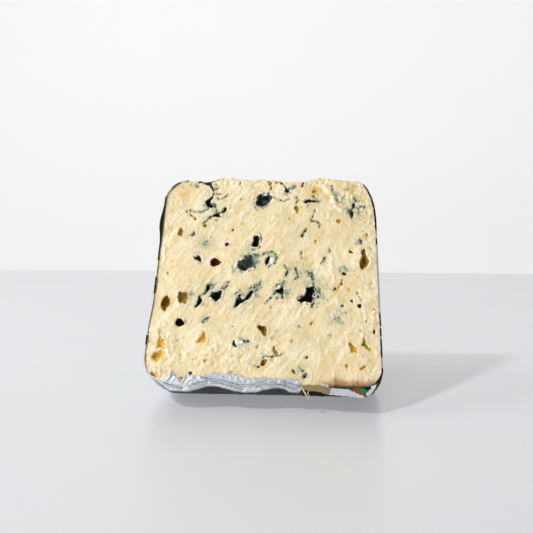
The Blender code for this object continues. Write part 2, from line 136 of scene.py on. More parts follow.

# Places on the front cut are millimetres to the right of its middle and down from its top edge.
# Torn holes: bare or mouldy, how light the lining is (a nearly black lining is painted shade), and
# the corners of the edge (right, down)
OUTLINED_HOLES = (
    # Near the top, left of the middle
    (MOULDY, 0.12, (
        (-3.8, 7.4), (-2.6, 8.6), (-1.2, 8.4), (0.3, 8), (1.5, 9.2), (0.9, 11), (-0.2, 12.4),
        (-2.4, 13.9), (-4.7, 13.8), (-6.1, 12.4), (-5.2, 10.9), (-4.8, 9.4),
    )),
    # The black hole above the grey one
    (MOULDY, 0.0, (
        (-5.9, 29), (-4.2, 28.5), (-3.8, 30.2), (-3.9, 32.3), (-4.4, 33.8), (-6.3, 33.7),
        (-6.7, 32.9), (-6, 31),
    )),
    # The large grey-green hole
    (MOULDY, 0.5, (
        (-12.7, 42.5), (-11.4, 40.9), (-9.3, 39.5), (-7.5, 37.8), (-6.5, 38.2), (-5.4, 40.9),
        (-4.8, 41.9), (-5.9, 43.6), (-7.8, 43.9), (-9, 45.4), (-11.5, 44.7), (-12.2, 43.4),
    )),
    # The slit beside it
    (MOULDY, 0.0, ((1, 38.2), (1.2, 39.1), (0.6, 41.8), (-0.2, 42.6), (-0.6, 40.8), (0.3, 39.1))),
    # The triangle
    (MOULDY, 0.0, (
        (17.5, 52.8), (18.6, 52.9), (20.5, 52.4), (20.9, 54.6), (20.1, 56.6), (19.9, 59.7),
        (17, 59), (15.2, 59.5), (13.4, 58.6), (15.2, 58.1), (17, 56.4), (17.7, 54.6),
    )),
    # The black star
    (MOULDY, 0.0, (
        (4.2, 54.6), (5.6, 53.8), (6.9, 53), (7.9, 54.1), (7.1, 54.9), (7.9, 55.9), (6.8, 55.9),
        (5.6, 55.4),
    )),
    # Left end of the long slanted hole
    (MOULDY, 0.05, (
        (-12.6, 59.3), (-11.8, 58), (-11.2, 56.3), (-10.5, 58.3), (-9, 58.6), (-8.5, 59.1),
        (-10.4, 60.2), (-12.2, 61.9), (-12.7, 60.6),
    )),
    # Right end of the long slanted hole
    (MOULDY, 0.0, (
        (-9.1, 58.7), (-7.8, 56.9), (-6.7, 54.9), (-5.7, 54.4), (-5.9, 56.3), (-7.1, 57.9),
        (-8.5, 59.3),
    )),
    # Black hole with three corners
    (MOULDY, 0.05, (
        (-23.6, 57.2), (-21.8, 55.4), (-20, 55.1), (-19, 54.6), (-19.1, 56.1), (-19.5, 58.1),
        (-21.2, 59.7), (-22.2, 58.4),
    )),
    # Narrow one left of it
    (MOULDY, 0.0, (
        (-28.8, 57.4), (-28.2, 57), (-27.3, 59.4), (-28.2, 60.8), (-29, 61.9), (-29.4, 61.1),
        (-29, 59.4),
    )),
    # Small one above
    (MOULDY, 0.0, ((-25.8, 52.5), (-25.2, 51.3), (-24.3, 53.1), (-24.6, 54.6), (-25.6, 54.9))),
    # Hook near the top left
    (MOULDY, 0.0, (
        (-28.8, 11.8), (-28.2, 10.8), (-27.3, 10.2), (-26.6, 11.1), (-26.7, 12.5), (-25.2, 14.2),
        (-25.9, 15), (-27.6, 13.9), (-28.4, 12.6),
    )),
    # Below the hook
    (MOULDY, 0.0, (
        (-24.9, 18.5), (-23.5, 17.5), (-22.6, 17.7), (-21.5, 19.2), (-22.7, 19.4), (-24.1, 18.9),
    )),
    # Right of it
    (MOULDY, 0.1, ((-20.7, 17.1), (-20.2, 15.1), (-19.4, 14.6), (-19, 15.9), (-19.9, 16.8))),
    # Small black one at the left
    (MOULDY, 0.1, (
        (-32.4, 38.5), (-30.8, 39.3), (-30.5, 38.2), (-29.3, 39.3), (-28.5, 41.4), (-30, 40.6),
        (-31.4, 39.9),
    )),
    # Lower black one
    (MOULDY, 0.0, (
        (-12.9, 77.3), (-12.4, 77), (-12.1, 78.4), (-10.8, 80), (-11.5, 80.1), (-12.7, 78.8),
    )),
    # Top vein's knot
    (MOULDY, 0.0, ((7.2, 5.1), (8.1, 5.7), (8.9, 6.2), (8.6, 7.1), (7.5, 7))),
    # Slanted dark cut at the top right
    (MOULDY, 0.05, (
        (15.8, 12.3), (16.8, 11.1), (18, 10.6), (19.8, 10.9), (22, 11.1), (23.1, 10.9), (21.6, 12),
        (18.9, 11.8), (17.3, 11.9),
    )),
    # Red-brown hole
    (BARE, 0.28, (
        (-24.6, 41.3), (-24.1, 39.9), (-22.8, 39.3), (-21.5, 40), (-20.5, 41.1), (-19.5, 41.1),
        (-20.4, 42.1), (-21.7, 42.8), (-23.2, 43.3), (-24.3, 42.7),
    )),
    # Brown hole at the left
    (BARE, 0.52, (
        (-43.5, 57.6), (-42.6, 57.2), (-41.4, 58.9), (-41.1, 60.9), (-41.5, 62), (-42.3, 62.6),
        (-42.9, 64.3), (-44, 63.5), (-45, 61.3), (-44.5, 59.6),
    )),
    # Olive hole beside it
    (BARE, 0.66, (
        (-37.4, 55.6), (-35.5, 55.7), (-33.8, 56.1), (-33.4, 57.8), (-34.1, 60.9), (-35.5, 60.2),
        (-36.3, 61.3), (-37.1, 60.2), (-37.6, 58.3),
    )),
    # Dark brown hole
    (BARE, 0.02, (
        (-38.1, 69.7), (-37.2, 67.6), (-35.8, 67.7), (-34, 70), (-35, 70.7), (-36.5, 71),
        (-37.7, 70.4),
    )),
    # Brown hole in the middle
    (BARE, 0.5, (
        (-2.8, 70.6), (-1.8, 70.1), (-0.9, 70.8), (0.7, 70.6), (1.1, 72.2), (0.9, 74.5),
        (-0.1, 74.8), (-0.9, 72.9), (-2.3, 71.6),
    )),
    # Amber triangle
    (BARE, 0.91, (
        (-25.2, 73), (-24.9, 74.8), (-24.2, 78), (-26.2, 77.9), (-28.8, 78.4), (-26.8, 75.8),
    )),
    # Amber crack low on the left
    (BARE, 0.92, (
        (-44.6, 73), (-44, 74.4), (-44, 75.7), (-43.1, 76.7), (-41.6, 79.1), (-41.5, 80.9),
        (-43.3, 80.4), (-45.2, 80.8), (-44.7, 78.8), (-44.6, 76.2),
    )),
    # Amber pit below it
    (BARE, 0.93, (
        (-43.4, 81.7), (-41.9, 82.7), (-41.6, 85.3), (-42.9, 84.7), (-44.2, 86.8), (-46, 86.1),
        (-47, 84.6), (-45.9, 82.8), (-44.4, 83),
    )),
    # Half-dark hole low in the middle
    (BARE, 0.5, ((-0.9, 87), (-0.3, 85.8), (0.4, 85.2), (1.1, 86.2), (1, 87.7), (-0.5, 87.8))),
    # Amber edge of it
    (BARE, 0.75, ((0.4, 85.1), (1.3, 84.8), (1.9, 85.6), (1.3, 86.6), (0.8, 86.1))),
    # Brown slit
    (BARE, 0.66, ((3.9, 79.7), (4.6, 79.2), (5, 80.9), (6.3, 82.4), (5.9, 83.4), (4.6, 82.3))),
    # Brown hole at the right edge
    (BARE, 0.5, (
        (41.7, 35.1), (42.5, 34.6), (42.8, 36.8), (43.3, 38.5), (44.3, 40.2), (43.9, 42.2),
        (42.6, 43.4), (41.3, 44.4), (40.4, 42.5), (40.7, 39.9), (41.7, 38.7), (41.3, 36.8),
    )),
    # Amber hole near the top
    (BARE, 0.78, ((11.4, 14), (12.8, 13.6), (13.5, 15.1), (14, 17), (13.1, 17.7), (12.2, 16.5))),
    # Amber hole low right
    (BARE, 0.84, (
        (35.6, 76.8), (36.6, 77.9), (37.9, 78.8), (39.2, 80.4), (38.9, 81.9), (38.1, 81),
        (36.8, 81.6), (36.3, 79.3),
    )),
    # Brown peak low right
    (BARE, 0.72, (
        (41.9, 74.6), (42.5, 76.7), (42.8, 78.4), (45.1, 80.1), (44.6, 80.7), (42.3, 79.3),
        (41.2, 78),
    )),
    # Brown slot low right
    (BARE, 0.86, (
        (39.9, 88.3), (41.1, 87.4), (42.3, 87.2), (42.5, 87.9), (41.4, 88.1), (40.6, 88.9),
    )),
    # Olive nick at the left
    (BARE, 0.68, (
        (-40.2, 27.4), (-39.6, 25.8), (-38.6, 25.1), (-38, 26.2), (-38, 27.7), (-38.6, 28.5),
        (-39.6, 28.5),
    )),
)

# Small mouldy holes: place, width, height, and lean anticlockwise in degrees
# A nearly black lining: shade painted into holes too narrow for the mesh to shade
SMALL_MOULD_SHADE_TONE = 0.05
SMALL_MOULD_HOLES = (
    (-17.9, 32.7, 1.1, 2.2, -20),
    (-29.5, 61.9, 1.5, 0.7, 20),
    (7.4, 57.3, 0.7, 1.8, 10),
    (15, 3.5, 0.9, 2.9, -15),
    (37.9, 13.6, 1, 3, -5),
    (36.9, 17.8, 1.5, 3.2, 12),
    (33.7, 46.4, 1.8, 1.3, -25),
    (32.9, 60.9, 1.1, 1.3, 0),
    (36.9, 58.8, 0.8, 1.4, -10),
    (40.1, 61, 1.5, 1.4, 0),
    (29.9, 53.3, 1, 1.1, 0),
    (46.1, 72.5, 0.7, 2.2, 0),
    (17.4, 92, 1.6, 0.9, -10),
    (18.1, 83.7, 0.9, 1, 30),
    (22.7, 57, 0.8, 1, 0),
    (-1.7, 88.2, 1.2, 0.7, 0),
)

# Small bare holes: the same, and how light the lining is
SMALL_BARE_HOLES = (
    (-28.3, 23.6, 2, 2, 0, 0.62),
    (9.7, 20.3, 1, 1.1, 0, 0.85),
    (20.6, 6.6, 2.1, 1.5, 10, 0.85),
    (31.4, 21.7, 2.4, 2.2, 0, 0.86),
    (21.1, 31, 0.8, 2.6, 10, 0.87),
    (43.6, 27.8, 0.9, 2.4, 20, 0.85),
    (-43.1, 46.9, 1.3, 1.1, 0, 0.9),
    (-15.6, 25.7, 1.1, 1, 0, 0.4),
    (-25.2, 29.3, 0.6, 0.7, 0, 0.4),
    (-36.7, 16.5, 1.1, 1.4, 0, 0.8),
    (11.9, 77.1, 0.8, 1.7, -10, 0.8),
    (19.9, 69.1, 1, 1, -30, 0.7),
    (-45.4, 92.6, 3.4, 1.3, -32, 0.72),
    (36.6, 36.1, 2.2, 0.9, -38, 0.15),
    (43, 67.9, 0.5, 1, 0, 0.5),
    (46.4, 62.5, 0.8, 1.1, 0, 0.8),
    (-33.6, 93.6, 1.1, 1.3, 0, 0.3),
    (-29.9, 91.4, 1.3, 1.1, 0, 0.5),
    (-2.5, 79.5, 1.9, 0.9, 50, 0.75),
    (35, 87.3, 1.2, 2.1, 20, 0.9),
    (0.6, 2.7, 0.9, 2.1, -10, 0.6),
    (3.3, 2, 1.2, 1, 0, 0.6),
    (13.1, 90.1, 1.2, 1.9, 35, 0.5),
    (-23.8, 86.1, 2.1, 1.1, -10, 0.95),
)

# Thin veins: kind, width, and the places along each
CRACK, MOULD, RUST = range(3)
VEINS = (
    (CRACK, 1.2, ((-31.6, 2), (-29.7, 2.2), (-27.3, 3))),
    (CRACK, 0.8, ((-26.7, 1.9), (-25.4, 1.2), (-23.1, 0.5))),
    (CRACK, 0.9, (
        (-26.9, 2.2), (-26.8, 3.5), (-25.8, 5.3), (-25.4, 7.3), (-26, 9.4), (-26.7, 10.6),
    )),
    (MOULD, 0.6, ((-25.6, 5.3), (-24, 4.9), (-22.9, 4.5))),
    (MOULD, 0.6, ((-25.4, 8.1), (-23.8, 7.6), (-22.2, 7.7))),
    (CRACK, 0.6, ((-13.4, 1.7), (-13.5, 3.2), (-12.6, 4.3))),
    (MOULD, 0.6, ((-23.7, 9.9), (-22.3, 10.3), (-21, 10.1), (-19.7, 8.9), (-18.8, 7.8))),
    (MOULD, 1.1, ((-25.1, 12.9), (-23.9, 14.2), (-23.3, 15.9), (-23.3, 17.4))),
    (MOULD, 0.8, ((-27.2, 19.7), (-25, 18.9), (-21.4, 17.4), (-19.3, 15.2))),
    (MOULD, 0.7, ((-35.6, 16.1), (-33.3, 16.9), (-31, 17), (-28.3, 16), (-27, 14.9))),
    (CRACK, 0.8, ((-35.7, 17.5), (-34.8, 18.4), (-33.7, 19), (-32.9, 20.4))),
    (CRACK, 0.9, ((4.7, 1.4), (6.1, 2.7), (7.3, 4.3), (7.9, 5.5))),
    (MOULD, 0.9, ((8.6, 5.5), (10.2, 5), (11.5, 4))),
    (MOULD, 0.5, ((2.2, 9.3), (4.5, 10.8), (6.7, 11.4), (9, 10.4))),
    (MOULD, 0.6, ((12.1, 9.3), (12.9, 10.9), (12.4, 12.4))),
    (CRACK, 0.6, ((20.7, 15.6), (20.7, 16.8), (19.7, 19.3), (19, 21), (19.5, 21.8))),
    (MOULD, 0.6, ((19.5, 21.3), (21.2, 21.3), (22.6, 22.3), (23.2, 23.2), (22.6, 24.7))),
    (CRACK, 0.6, ((17.5, 24), (16.2, 25.9), (15.3, 28.9))),
    (MOULD, 0.7, ((16.9, 25.2), (15.8, 27.2), (15.2, 28.6))),
    (MOULD, 0.7, ((25.6, 38.4), (24.7, 40.5), (23.6, 41.5))),
    (MOULD, 0.6, ((27.2, 34.1), (27.3, 36.2))),
    (MOULD, 0.7, ((27.8, 3.8), (29.1, 6.5), (30.3, 9.3), (31.2, 12.3))),
    (MOULD, 0.8, ((7.8, 43), (9.4, 44.9), (8.8, 46.7), (8.2, 47.7))),
    (MOULD, 0.8, ((12.6, 43.9), (13.1, 46.2), (14.1, 47.6), (13, 49))),
    (MOULD, 0.9, ((17.9, 45.3), (19.4, 46.4), (20.3, 48.5), (20.4, 51.7))),
    (RUST, 0.8, ((32.5, 49.5), (32.3, 51.6), (30.8, 53), (29.7, 53.9))),
    (MOULD, 0.6, ((0.4, 59.7), (2.8, 57.2), (4.3, 55.1))),
    (MOULD, 1, ((21, 53.1), (21, 55.8), (20.4, 58.6), (20.2, 61.3))),
    (RUST, 0.6, ((39.1, 55.2), (39.9, 57), (41, 58.3))),
    (RUST, 0.5, ((35.7, 52.7), (36.7, 54.3), (37.7, 55.7))),
    (MOULD, 1, ((-5.6, 55.2), (-3.9, 54.3), (-2.7, 52.4), (-2.2, 50.3))),
    (MOULD, 0.8, ((-7, 53.8), (-5.1, 52.9), (-3.4, 51.7))),
    (CRACK, 0.4, ((-36.9, 77.8), (-36.1, 76.8))),
    (CRACK, 0.3, ((-35.7, 78), (-34.8, 76.5))),
    (MOULD, 0.8, ((-1.6, 37.2), (0, 36.6), (1.7, 36.4), (3.7, 37.3), (4.2, 39.7), (3.7, 41.9))),
    (CRACK, 0.5, ((-0.4, 84), (1.2, 83.6), (3.7, 83.8))),
    (MOULD, 0.4, ((3.7, 83.8), (6.6, 83.3), (8.3, 82.2))),
    (MOULD, 0.8, ((-26.2, 68.8), (-25, 67.7), (-23.7, 67))),
    (CRACK, 0.6, ((-3.1, 28.7), (-2.8, 31.1), (-3.3, 33.6))),
    (CRACK, 0.6, ((7.1, 55.8), (7.3, 58))),
    (MOULD, 0.7, ((15.2, 88.2), (16.7, 89.7))),
    (CRACK, 0.6, ((-12.7, 59.8), (-12.9, 62))),
    (MOULD, 1, ((-25.6, 54.9), (-26.4, 55.9))),
    (MOULD, 0.7, ((-18.6, 54.6), (-17.2, 52.8), (-16.2, 50.7))),
    (MOULD, 0.6, ((-19.8, 54.9), (-18.5, 52.8))),
    (MOULD, 0.9, ((-24.5, 51.7), (-23.1, 53.3))),
    (MOULD, 0.9, ((-29.3, 61.6), (-30.1, 62.3))),
    (MOULD, 0.6, ((-29.3, 22.7), (-27.5, 21.2), (-25.6, 19.7))),
    (RUST, 0.5, ((15.5, 35.4), (14.8, 38.4), (16.3, 40.4), (16.1, 42.5))),
    (RUST, 0.7, ((18.6, 9.3), (20.2, 8.8), (22.2, 8.1))),
    (RUST, 0.6, ((-0.5, 1.6), (0.9, 4), (0.5, 5.5))),
    (MOULD, 0.6, ((39.9, 30.9), (40.8, 30.2), (41.2, 31.9), (40.1, 32.8))),
    (MOULD, 0.7, ((35.9, 16.1), (35.1, 17.8))),
    (MOULD, 0.5, ((38.9, 13.8), (40.3, 15.8), (39.8, 17.8))),
    (MOULD, 0.6, ((2.1, 42.3), (0.9, 43.5))),
    (CRACK, 0.5, ((0.5, 84.3), (-0.4, 85.7))),
    (MOULD, 0.6, ((5.9, 56.2), (4.8, 58.3))),
    (MOULD, 0.6, ((22.9, 52.8), (23.6, 57.2))),
    (MOULD, 0.7, ((-12.7, 56), (-11, 54.8))),
)

# Flecks of mould in the paste: place, size, strength
MOULD_SMEARS = (
    (-33.4, 28.4, 1.6, 0.75),
    (-27.8, 31.8, 1.9, 0.65),
    (-31, 36.6, 1.4, 0.35),
    (-39.3, 44.3, 0.9, 0.45),
    (-6, 35.5, 1.4, 0.7),
    (-17.1, 30.5, 0.9, 0.45),
    (-14.6, 45.1, 1.9, 0.5),
    (-4.4, 38.3, 2.1, 0.75),
    (-3.4, 41.2, 1.6, 0.6),
    (-10.3, 38.4, 1.6, 0.5),
    (-23.4, 52.1, 1.5, 0.8),
    (-17.3, 51.6, 1.4, 0.65),
    (-18.9, 53.5, 1.4, 0.5),
    (-3.8, 52.9, 2.3, 0.55),
    (-10.8, 55.7, 1.6, 0.6),
    (-4, 57, 1.9, 0.5),
    (-31.8, 56.4, 1.4, 0.65),
    (-26.5, 60.9, 1.2, 0.6),
    (-24.5, 68.1, 1.4, 0.65),
    (-33.9, 69.1, 1.2, 0.55),
    (-9.4, 76.6, 1.4, 0.7),
    (-7.6, 77.4, 1.6, 0.75),
    (6.8, 51.6, 2.1, 0.75),
    (4, 51.9, 1.6, 0.5),
    (9.7, 55.3, 1.4, 0.65),
    (8.9, 57.3, 1.2, 0.45),
    (23.8, 56.7, 1.9, 0.5),
    (21.8, 54, 1.6, 0.6),
    (28.5, 54.8, 1.4, 0.4),
    (25.9, 52.6, 2.3, 0.35),
    (33.1, 64.3, 1.6, 0.5),
    (33.3, 68.7, 1.2, 0.65),
    (27.9, 74, 1.2, 0.55),
    (30.2, 67, 2.8, 0.45),
    (34, 43.9, 1.9, 0.6),
    (31.9, 44.7, 1.4, 0.45),
    (40.8, 30.9, 1.2, 0.6),
    (38.8, 32.3, 1.6, 0.45),
    (-36.1, 2.7, 1.4, 0.6),
    (-33.3, 3.5, 1.4, 0.7),
    (-25, 3.5, 1.9, 0.4),
    (30.7, 8.8, 2.1, 0.6),
    (32.3, 12.3, 1.6, 0.45),
    (38.5, 11.3, 1.9, 0.75),
    (36.8, 16.2, 1.6, 0.9),
    (41.2, 14.2, 1.3, 0.8),
    (33.4, 9.6, 1.4, 0.6),
    (35.6, 5.2, 1.3, 0.5),
    (42.9, 15, 1.6, 0.6),
    (34.9, 15.3, 1.4, 0.5),
    (45.9, 18.7, 1.4, 0.45),
    (19.4, 47.1, 2.3, 0.55),
    (15.1, 45.7, 2.3, 0.4),
    (9.4, 44.6, 2.3, 0.45),
    (18, 13.1, 1.9, 0.5),
    (8, 7.6, 1.6, 0.6),
    (11.1, 4.5, 1.7, 0.5),
    (-4.4, 13.9, 2.8, 0.55),
    (-6.8, 10.9, 1.4, 0.45),
    (-12.4, 10.6, 0.9, 0.65),
    (-17.5, 14.9, 0.8, 0.65),
    (-16.6, 14.1, 0.8, 0.65),
    (-23.3, 20.9, 1, 0.65),
    (-20.5, 17.4, 1.4, 0.45),
    (14.6, 70.5, 0.9, 0.65),
    (5, 72.6, 0.8, 0.6),
    (3.3, 75.7, 1.5, 0.45),
    (28.7, 13.3, 1.4, 0.4),
    (40.7, 19.2, 1.9, 0.4),
    (17.4, 91.6, 1.6, 0.6),
    (14.5, 90.6, 1.4, 0.4),
    (-29.8, 41.2, 1.2, 0.5),
    (-37.8, 26.4, 1.2, 0.45),
    (16, 2.5, 1.4, 0.35),
    (-21.4, 9.9, 1.4, 0.3),
    (-25.2, 7.1, 1.4, 0.45),
    (-28.5, 13.9, 1.6, 0.45),
    (-4, 88.1, 1.2, 0.5),
    (-13.7, 90.7, 1.1, 0.5),
    (-0.3, 82.9, 1.1, 0.6),
    (-29, 56.1, 1.2, 0.4),
    (-22.2, 60, 1.2, 0.4),
    (-13.1, 62.1, 1.2, 0.45),
    (-8.2, 60.7, 1.4, 0.3),
    (21.7, 60.4, 1.6, 0.5),
    (19.6, 63.3, 1.4, 0.4),
    (14.8, 57.3, 1.4, 0.35),
    (41.8, 33.8, 1.2, 0.3),
)

# Where mould under the surface greys the paste: place, size, strength
GREY_CAST = (
    (-25.7, 14.9, 6.6, 0.5),
    (-28.1, 5.8, 4.2, 0.35),
    (-34.2, 3.7, 3.8, 0.35),
    (-3.2, 10.9, 5.6, 0.45),
    (9.3, 4.8, 4.7, 0.4),
    (19.3, 12.3, 4.7, 0.35),
    (37.2, 13.8, 7.5, 0.5),
    (36.5, 5.5, 6.0, 0.3),
    (42.5, 10.5, 5.0, 0.3),
    (30, 8.3, 3.8, 0.5),
    (-27.7, 32.2, 5.6, 0.5),
    (-34.8, 26.9, 4.2, 0.35),
    (-6.8, 33.6, 3.8, 0.5),
    (-7.3, 41.2, 7, 0.6),
    (1.8, 39.7, 4.2, 0.6),
    (-27.4, 38, 3.8, 0.25),
    (-22.4, 54, 7.5, 0.55),
    (-28.1, 59.1, 3.8, 0.45),
    (-8.3, 58, 7, 0.55),
    (-3.4, 51.9, 4.2, 0.6),
    (7, 53.7, 6.1, 0.6),
    (13.3, 47.2, 7, 0.45),
    (19.9, 51.7, 7, 0.6),
    (23.4, 56.7, 4.7, 0.45),
    (33.1, 44.7, 4.2, 0.45),
    (39.7, 31.9, 3.8, 0.4),
    (30.6, 66.5, 6.1, 0.5),
    (27.7, 74, 3.8, 0.35),
    (33.1, 62, 3.8, 0.35),
    (-25, 68.1, 3.3, 0.4),
    (-35.7, 68.3, 3.8, 0.35),
    (-8.7, 77.6, 4.2, 0.5),
    (-35.4, 77.6, 2.8, 0.25),
    (16.3, 91, 4.2, 0.5),
    (-0.4, 85.3, 3.8, 0.3),
    (4.7, 73.5, 3.3, 0.25),
    (-19.6, 18.4, 4.7, 0.3),
    (25.4, 41, 4.2, 0.25),
    (-13.7, 46, 3.8, 0.4),
    (16.4, 26.2, 3.3, 0.35),
    (-31.4, 56.4, 3.3, 0.4),
)

# Where the paste dried to a deeper yellow: place, size, strength
YELLOW_CAST = (
    (-40.3, 8.4, 2.3, 0.72),
    (-39.3, 4.3, 1.9, 0.48),
    (-43.8, 25, 1.6, 0.72),
    (-44.2, 17, 1.4, 0.48),
    (36.3, 6.8, 5.0, 0.6),
    (41.6, 10.8, 4.5, 0.5),
    (32.0, 3.5, 4.0, 0.45),
    (26.5, 9.5, 3.2, 0.45),
    (44.5, 15.5, 3.2, 0.5),
    (36.5, 19.0, 4.0, 0.35),
    (21.1, 6.3, 3.6, 0.75),
    (13.1, 14.9, 2.3, 0.64),
    (15.8, 39.6, 2.8, 0.56),
    (31.9, 52.5, 4.2, 0.35),
    (43.2, 28.5, 1.9, 0.64),
    (42.2, 39.9, 3.3, 0.45),
    (31, 53.9, 2.8, 0.48),
    (36.1, 54.8, 3.8, 0.25),
    (-33.8, 41.4, 4.7, 0.18),
    (-41.5, 41.3, 1.3, 0.56),
    (-38.8, 41.0, 1.2, 0.48),
    (-11.5, 22.7, 1.2, 0.72),
    (-14.0, 24.6, 1.2, 0.64),
    (-42.6, 78.2, 4.2, 0.35),
    (-44.2, 84.3, 3.8, 0.4),
    (-34.9, 84.6, 4.7, 0.3),
    (-24.2, 85.7, 5.6, 0.3),
    (-11.7, 85.5, 5.6, 0.25),
    (-25.3, 76.6, 2.3, 0.48),
    (4.9, 80.9, 2.8, 0.48),
    (19.3, 8.8, 2.8, 0.48),
    (2.5, 3.7, 3.3, 0.4),
    (38.1, 79.1, 3.3, 0.3),
    (42.6, 77.3, 2.8, 0.48),
    (40.9, 88, 2.8, 0.48),
    (34.7, 87.7, 2.3, 0.48),
    (0.4, 73.6, 2.8, 0.4),
    (-35.1, 59.2, 3.3, 0.25),
    (-42.8, 60.6, 3.3, 0.3),
    (-22.7, 41.8, 3.3, 0.3),
    (34, 19.3, 3.3, 0.2),
    (43.3, 21.7, 2.8, 0.48),
    (-2.8, 44, 2.3, 0.32),
    (46.2, 58.3, 2.3, 0.48),
    (44.2, 51.5, 3.3, 0.2),
    (-44.7, 92.9, 2.8, 0.64),
)

# Ridges that the knife pushed up: width, height, whiteness (partly a painted highlight on the
# crest), and the places along each
RIDGES = (
    (0.9, 0.24, 0.95, ((-12.5, 20.4), (-10.2, 15.4), (-7.7, 10.4), (-6.1, 6.3))),
    (0.8, 0.2, 0.95, ((-26.4, 32.2), (-24.9, 27.4), (-23.8, 23.9))),
    (0.8, 0.24, 0.95, ((12.1, 86.4), (14.9, 81.6), (19.4, 77.9))),
    (0.8, 0.2, 0.95, ((7.3, 90.7), (11.2, 85.1), (14.5, 80.3))),
    (0.7, 0.18, 0.95, ((2.3, 91.6), (7.1, 85.6))),
    (0.9, 0.25, 0.95, ((5.2, 77.9), (8.5, 75.2), (10.6, 74.3))),
    (0.9, 0.22, 0.95, ((8.6, 79.6), (11.5, 77.3))),
    (0.7, 0.14, 0.95, ((13.1, 57.3), (9, 63.7), (5.4, 70))),
    (0.7, 0.14, 0.95, ((17.5, 60.9), (12.9, 66.7), (7.6, 73.5))),
    (0.7, 0.25, 0.95, ((26.5, 16.8), (26.7, 21.7), (26.8, 27.6))),
    (0.6, 0.18, 0.95, ((25.7, 29.5), (25.6, 36.2))),
    (0.9, 0.35, 0.95, ((27.7, 37.6), (28.7, 43.8), (29.3, 49.8))),
    (0.8, 0.2, 0.95, ((23.2, 41), (21.1, 47.1))),
    (0.8, 0.22, 0.95, ((30.2, 53.9), (30.6, 61.2))),
    (0.7, 0.2, 0.95, ((28.9, 70.5), (29, 77.1))),
    (0.7, 0.2, 0.95, ((31.5, 71.8), (32.1, 78.3))),
    (0.7, 0.18, 0.95, ((34, 72.6), (35, 77))),
    (1.1, 0.3, 0.95, ((-44.5, 10.9), (-45.3, 21), (-45.6, 30.9), (-45.6, 41.5))),
    (1, 0.3, 0.95, ((16.4, 33.9), (15.3, 36.3), (15.1, 38.7), (16.7, 40.6))),
    (1.1, 0.3, 0.95, ((6, 34), (5, 36.4))),
    (0.9, 0.25, 0.95, ((40, 44.6), (41.7, 48.8))),
    (0.7, 0.2, 0.95, ((-9.2, 28.7), (-10.8, 33.1))),
    (0.7, 0.18, 0.95, ((-16, 59), (-17.9, 64.4))),
    (0.7, 0.18, 0.95, ((-1.3, 61.1), (-4.5, 67), (-7.7, 72.4))),
    (0.7, 0.2, 0.95, ((2.2, 62.8), (-1, 68.3))),
    (0.7, 0.2, 0.95, ((-13.8, 68.9), (-16, 74.2))),
    (0.7, 0.2, 0.95, ((22.8, 78.5), (17.4, 82), (13.8, 86.8))),
    (0.6, 0.2, 0.95, ((24.8, 71.9), (22.7, 76.7))),
    (0.7, 0.2, 0.95, ((17.6, 71.6), (13.9, 75.1))),
    (0.6, 0.18, 0.95, ((-28.2, 52.2), (-31, 55))),
    (0.7, 0.2, 0.95, ((14.1, 21.8), (12.5, 26.7))),
    (0.6, 0.2, 0.95, ((8.2, 13.4), (5.6, 17.9))),
    (0.7, 0.2, 0.95, ((-8.6, 61.2), (-10.9, 66.2))),
    (0.6, 0.18, 0.95, ((35.8, 16.8), (36.2, 23.7))),
    (0.7, 0.2, 0.95, ((37.9, 40.9), (39.1, 45.5))),
    (0.7, 0.2, 0.95, ((23.8, 13.3), (24.1, 18.8))),
)

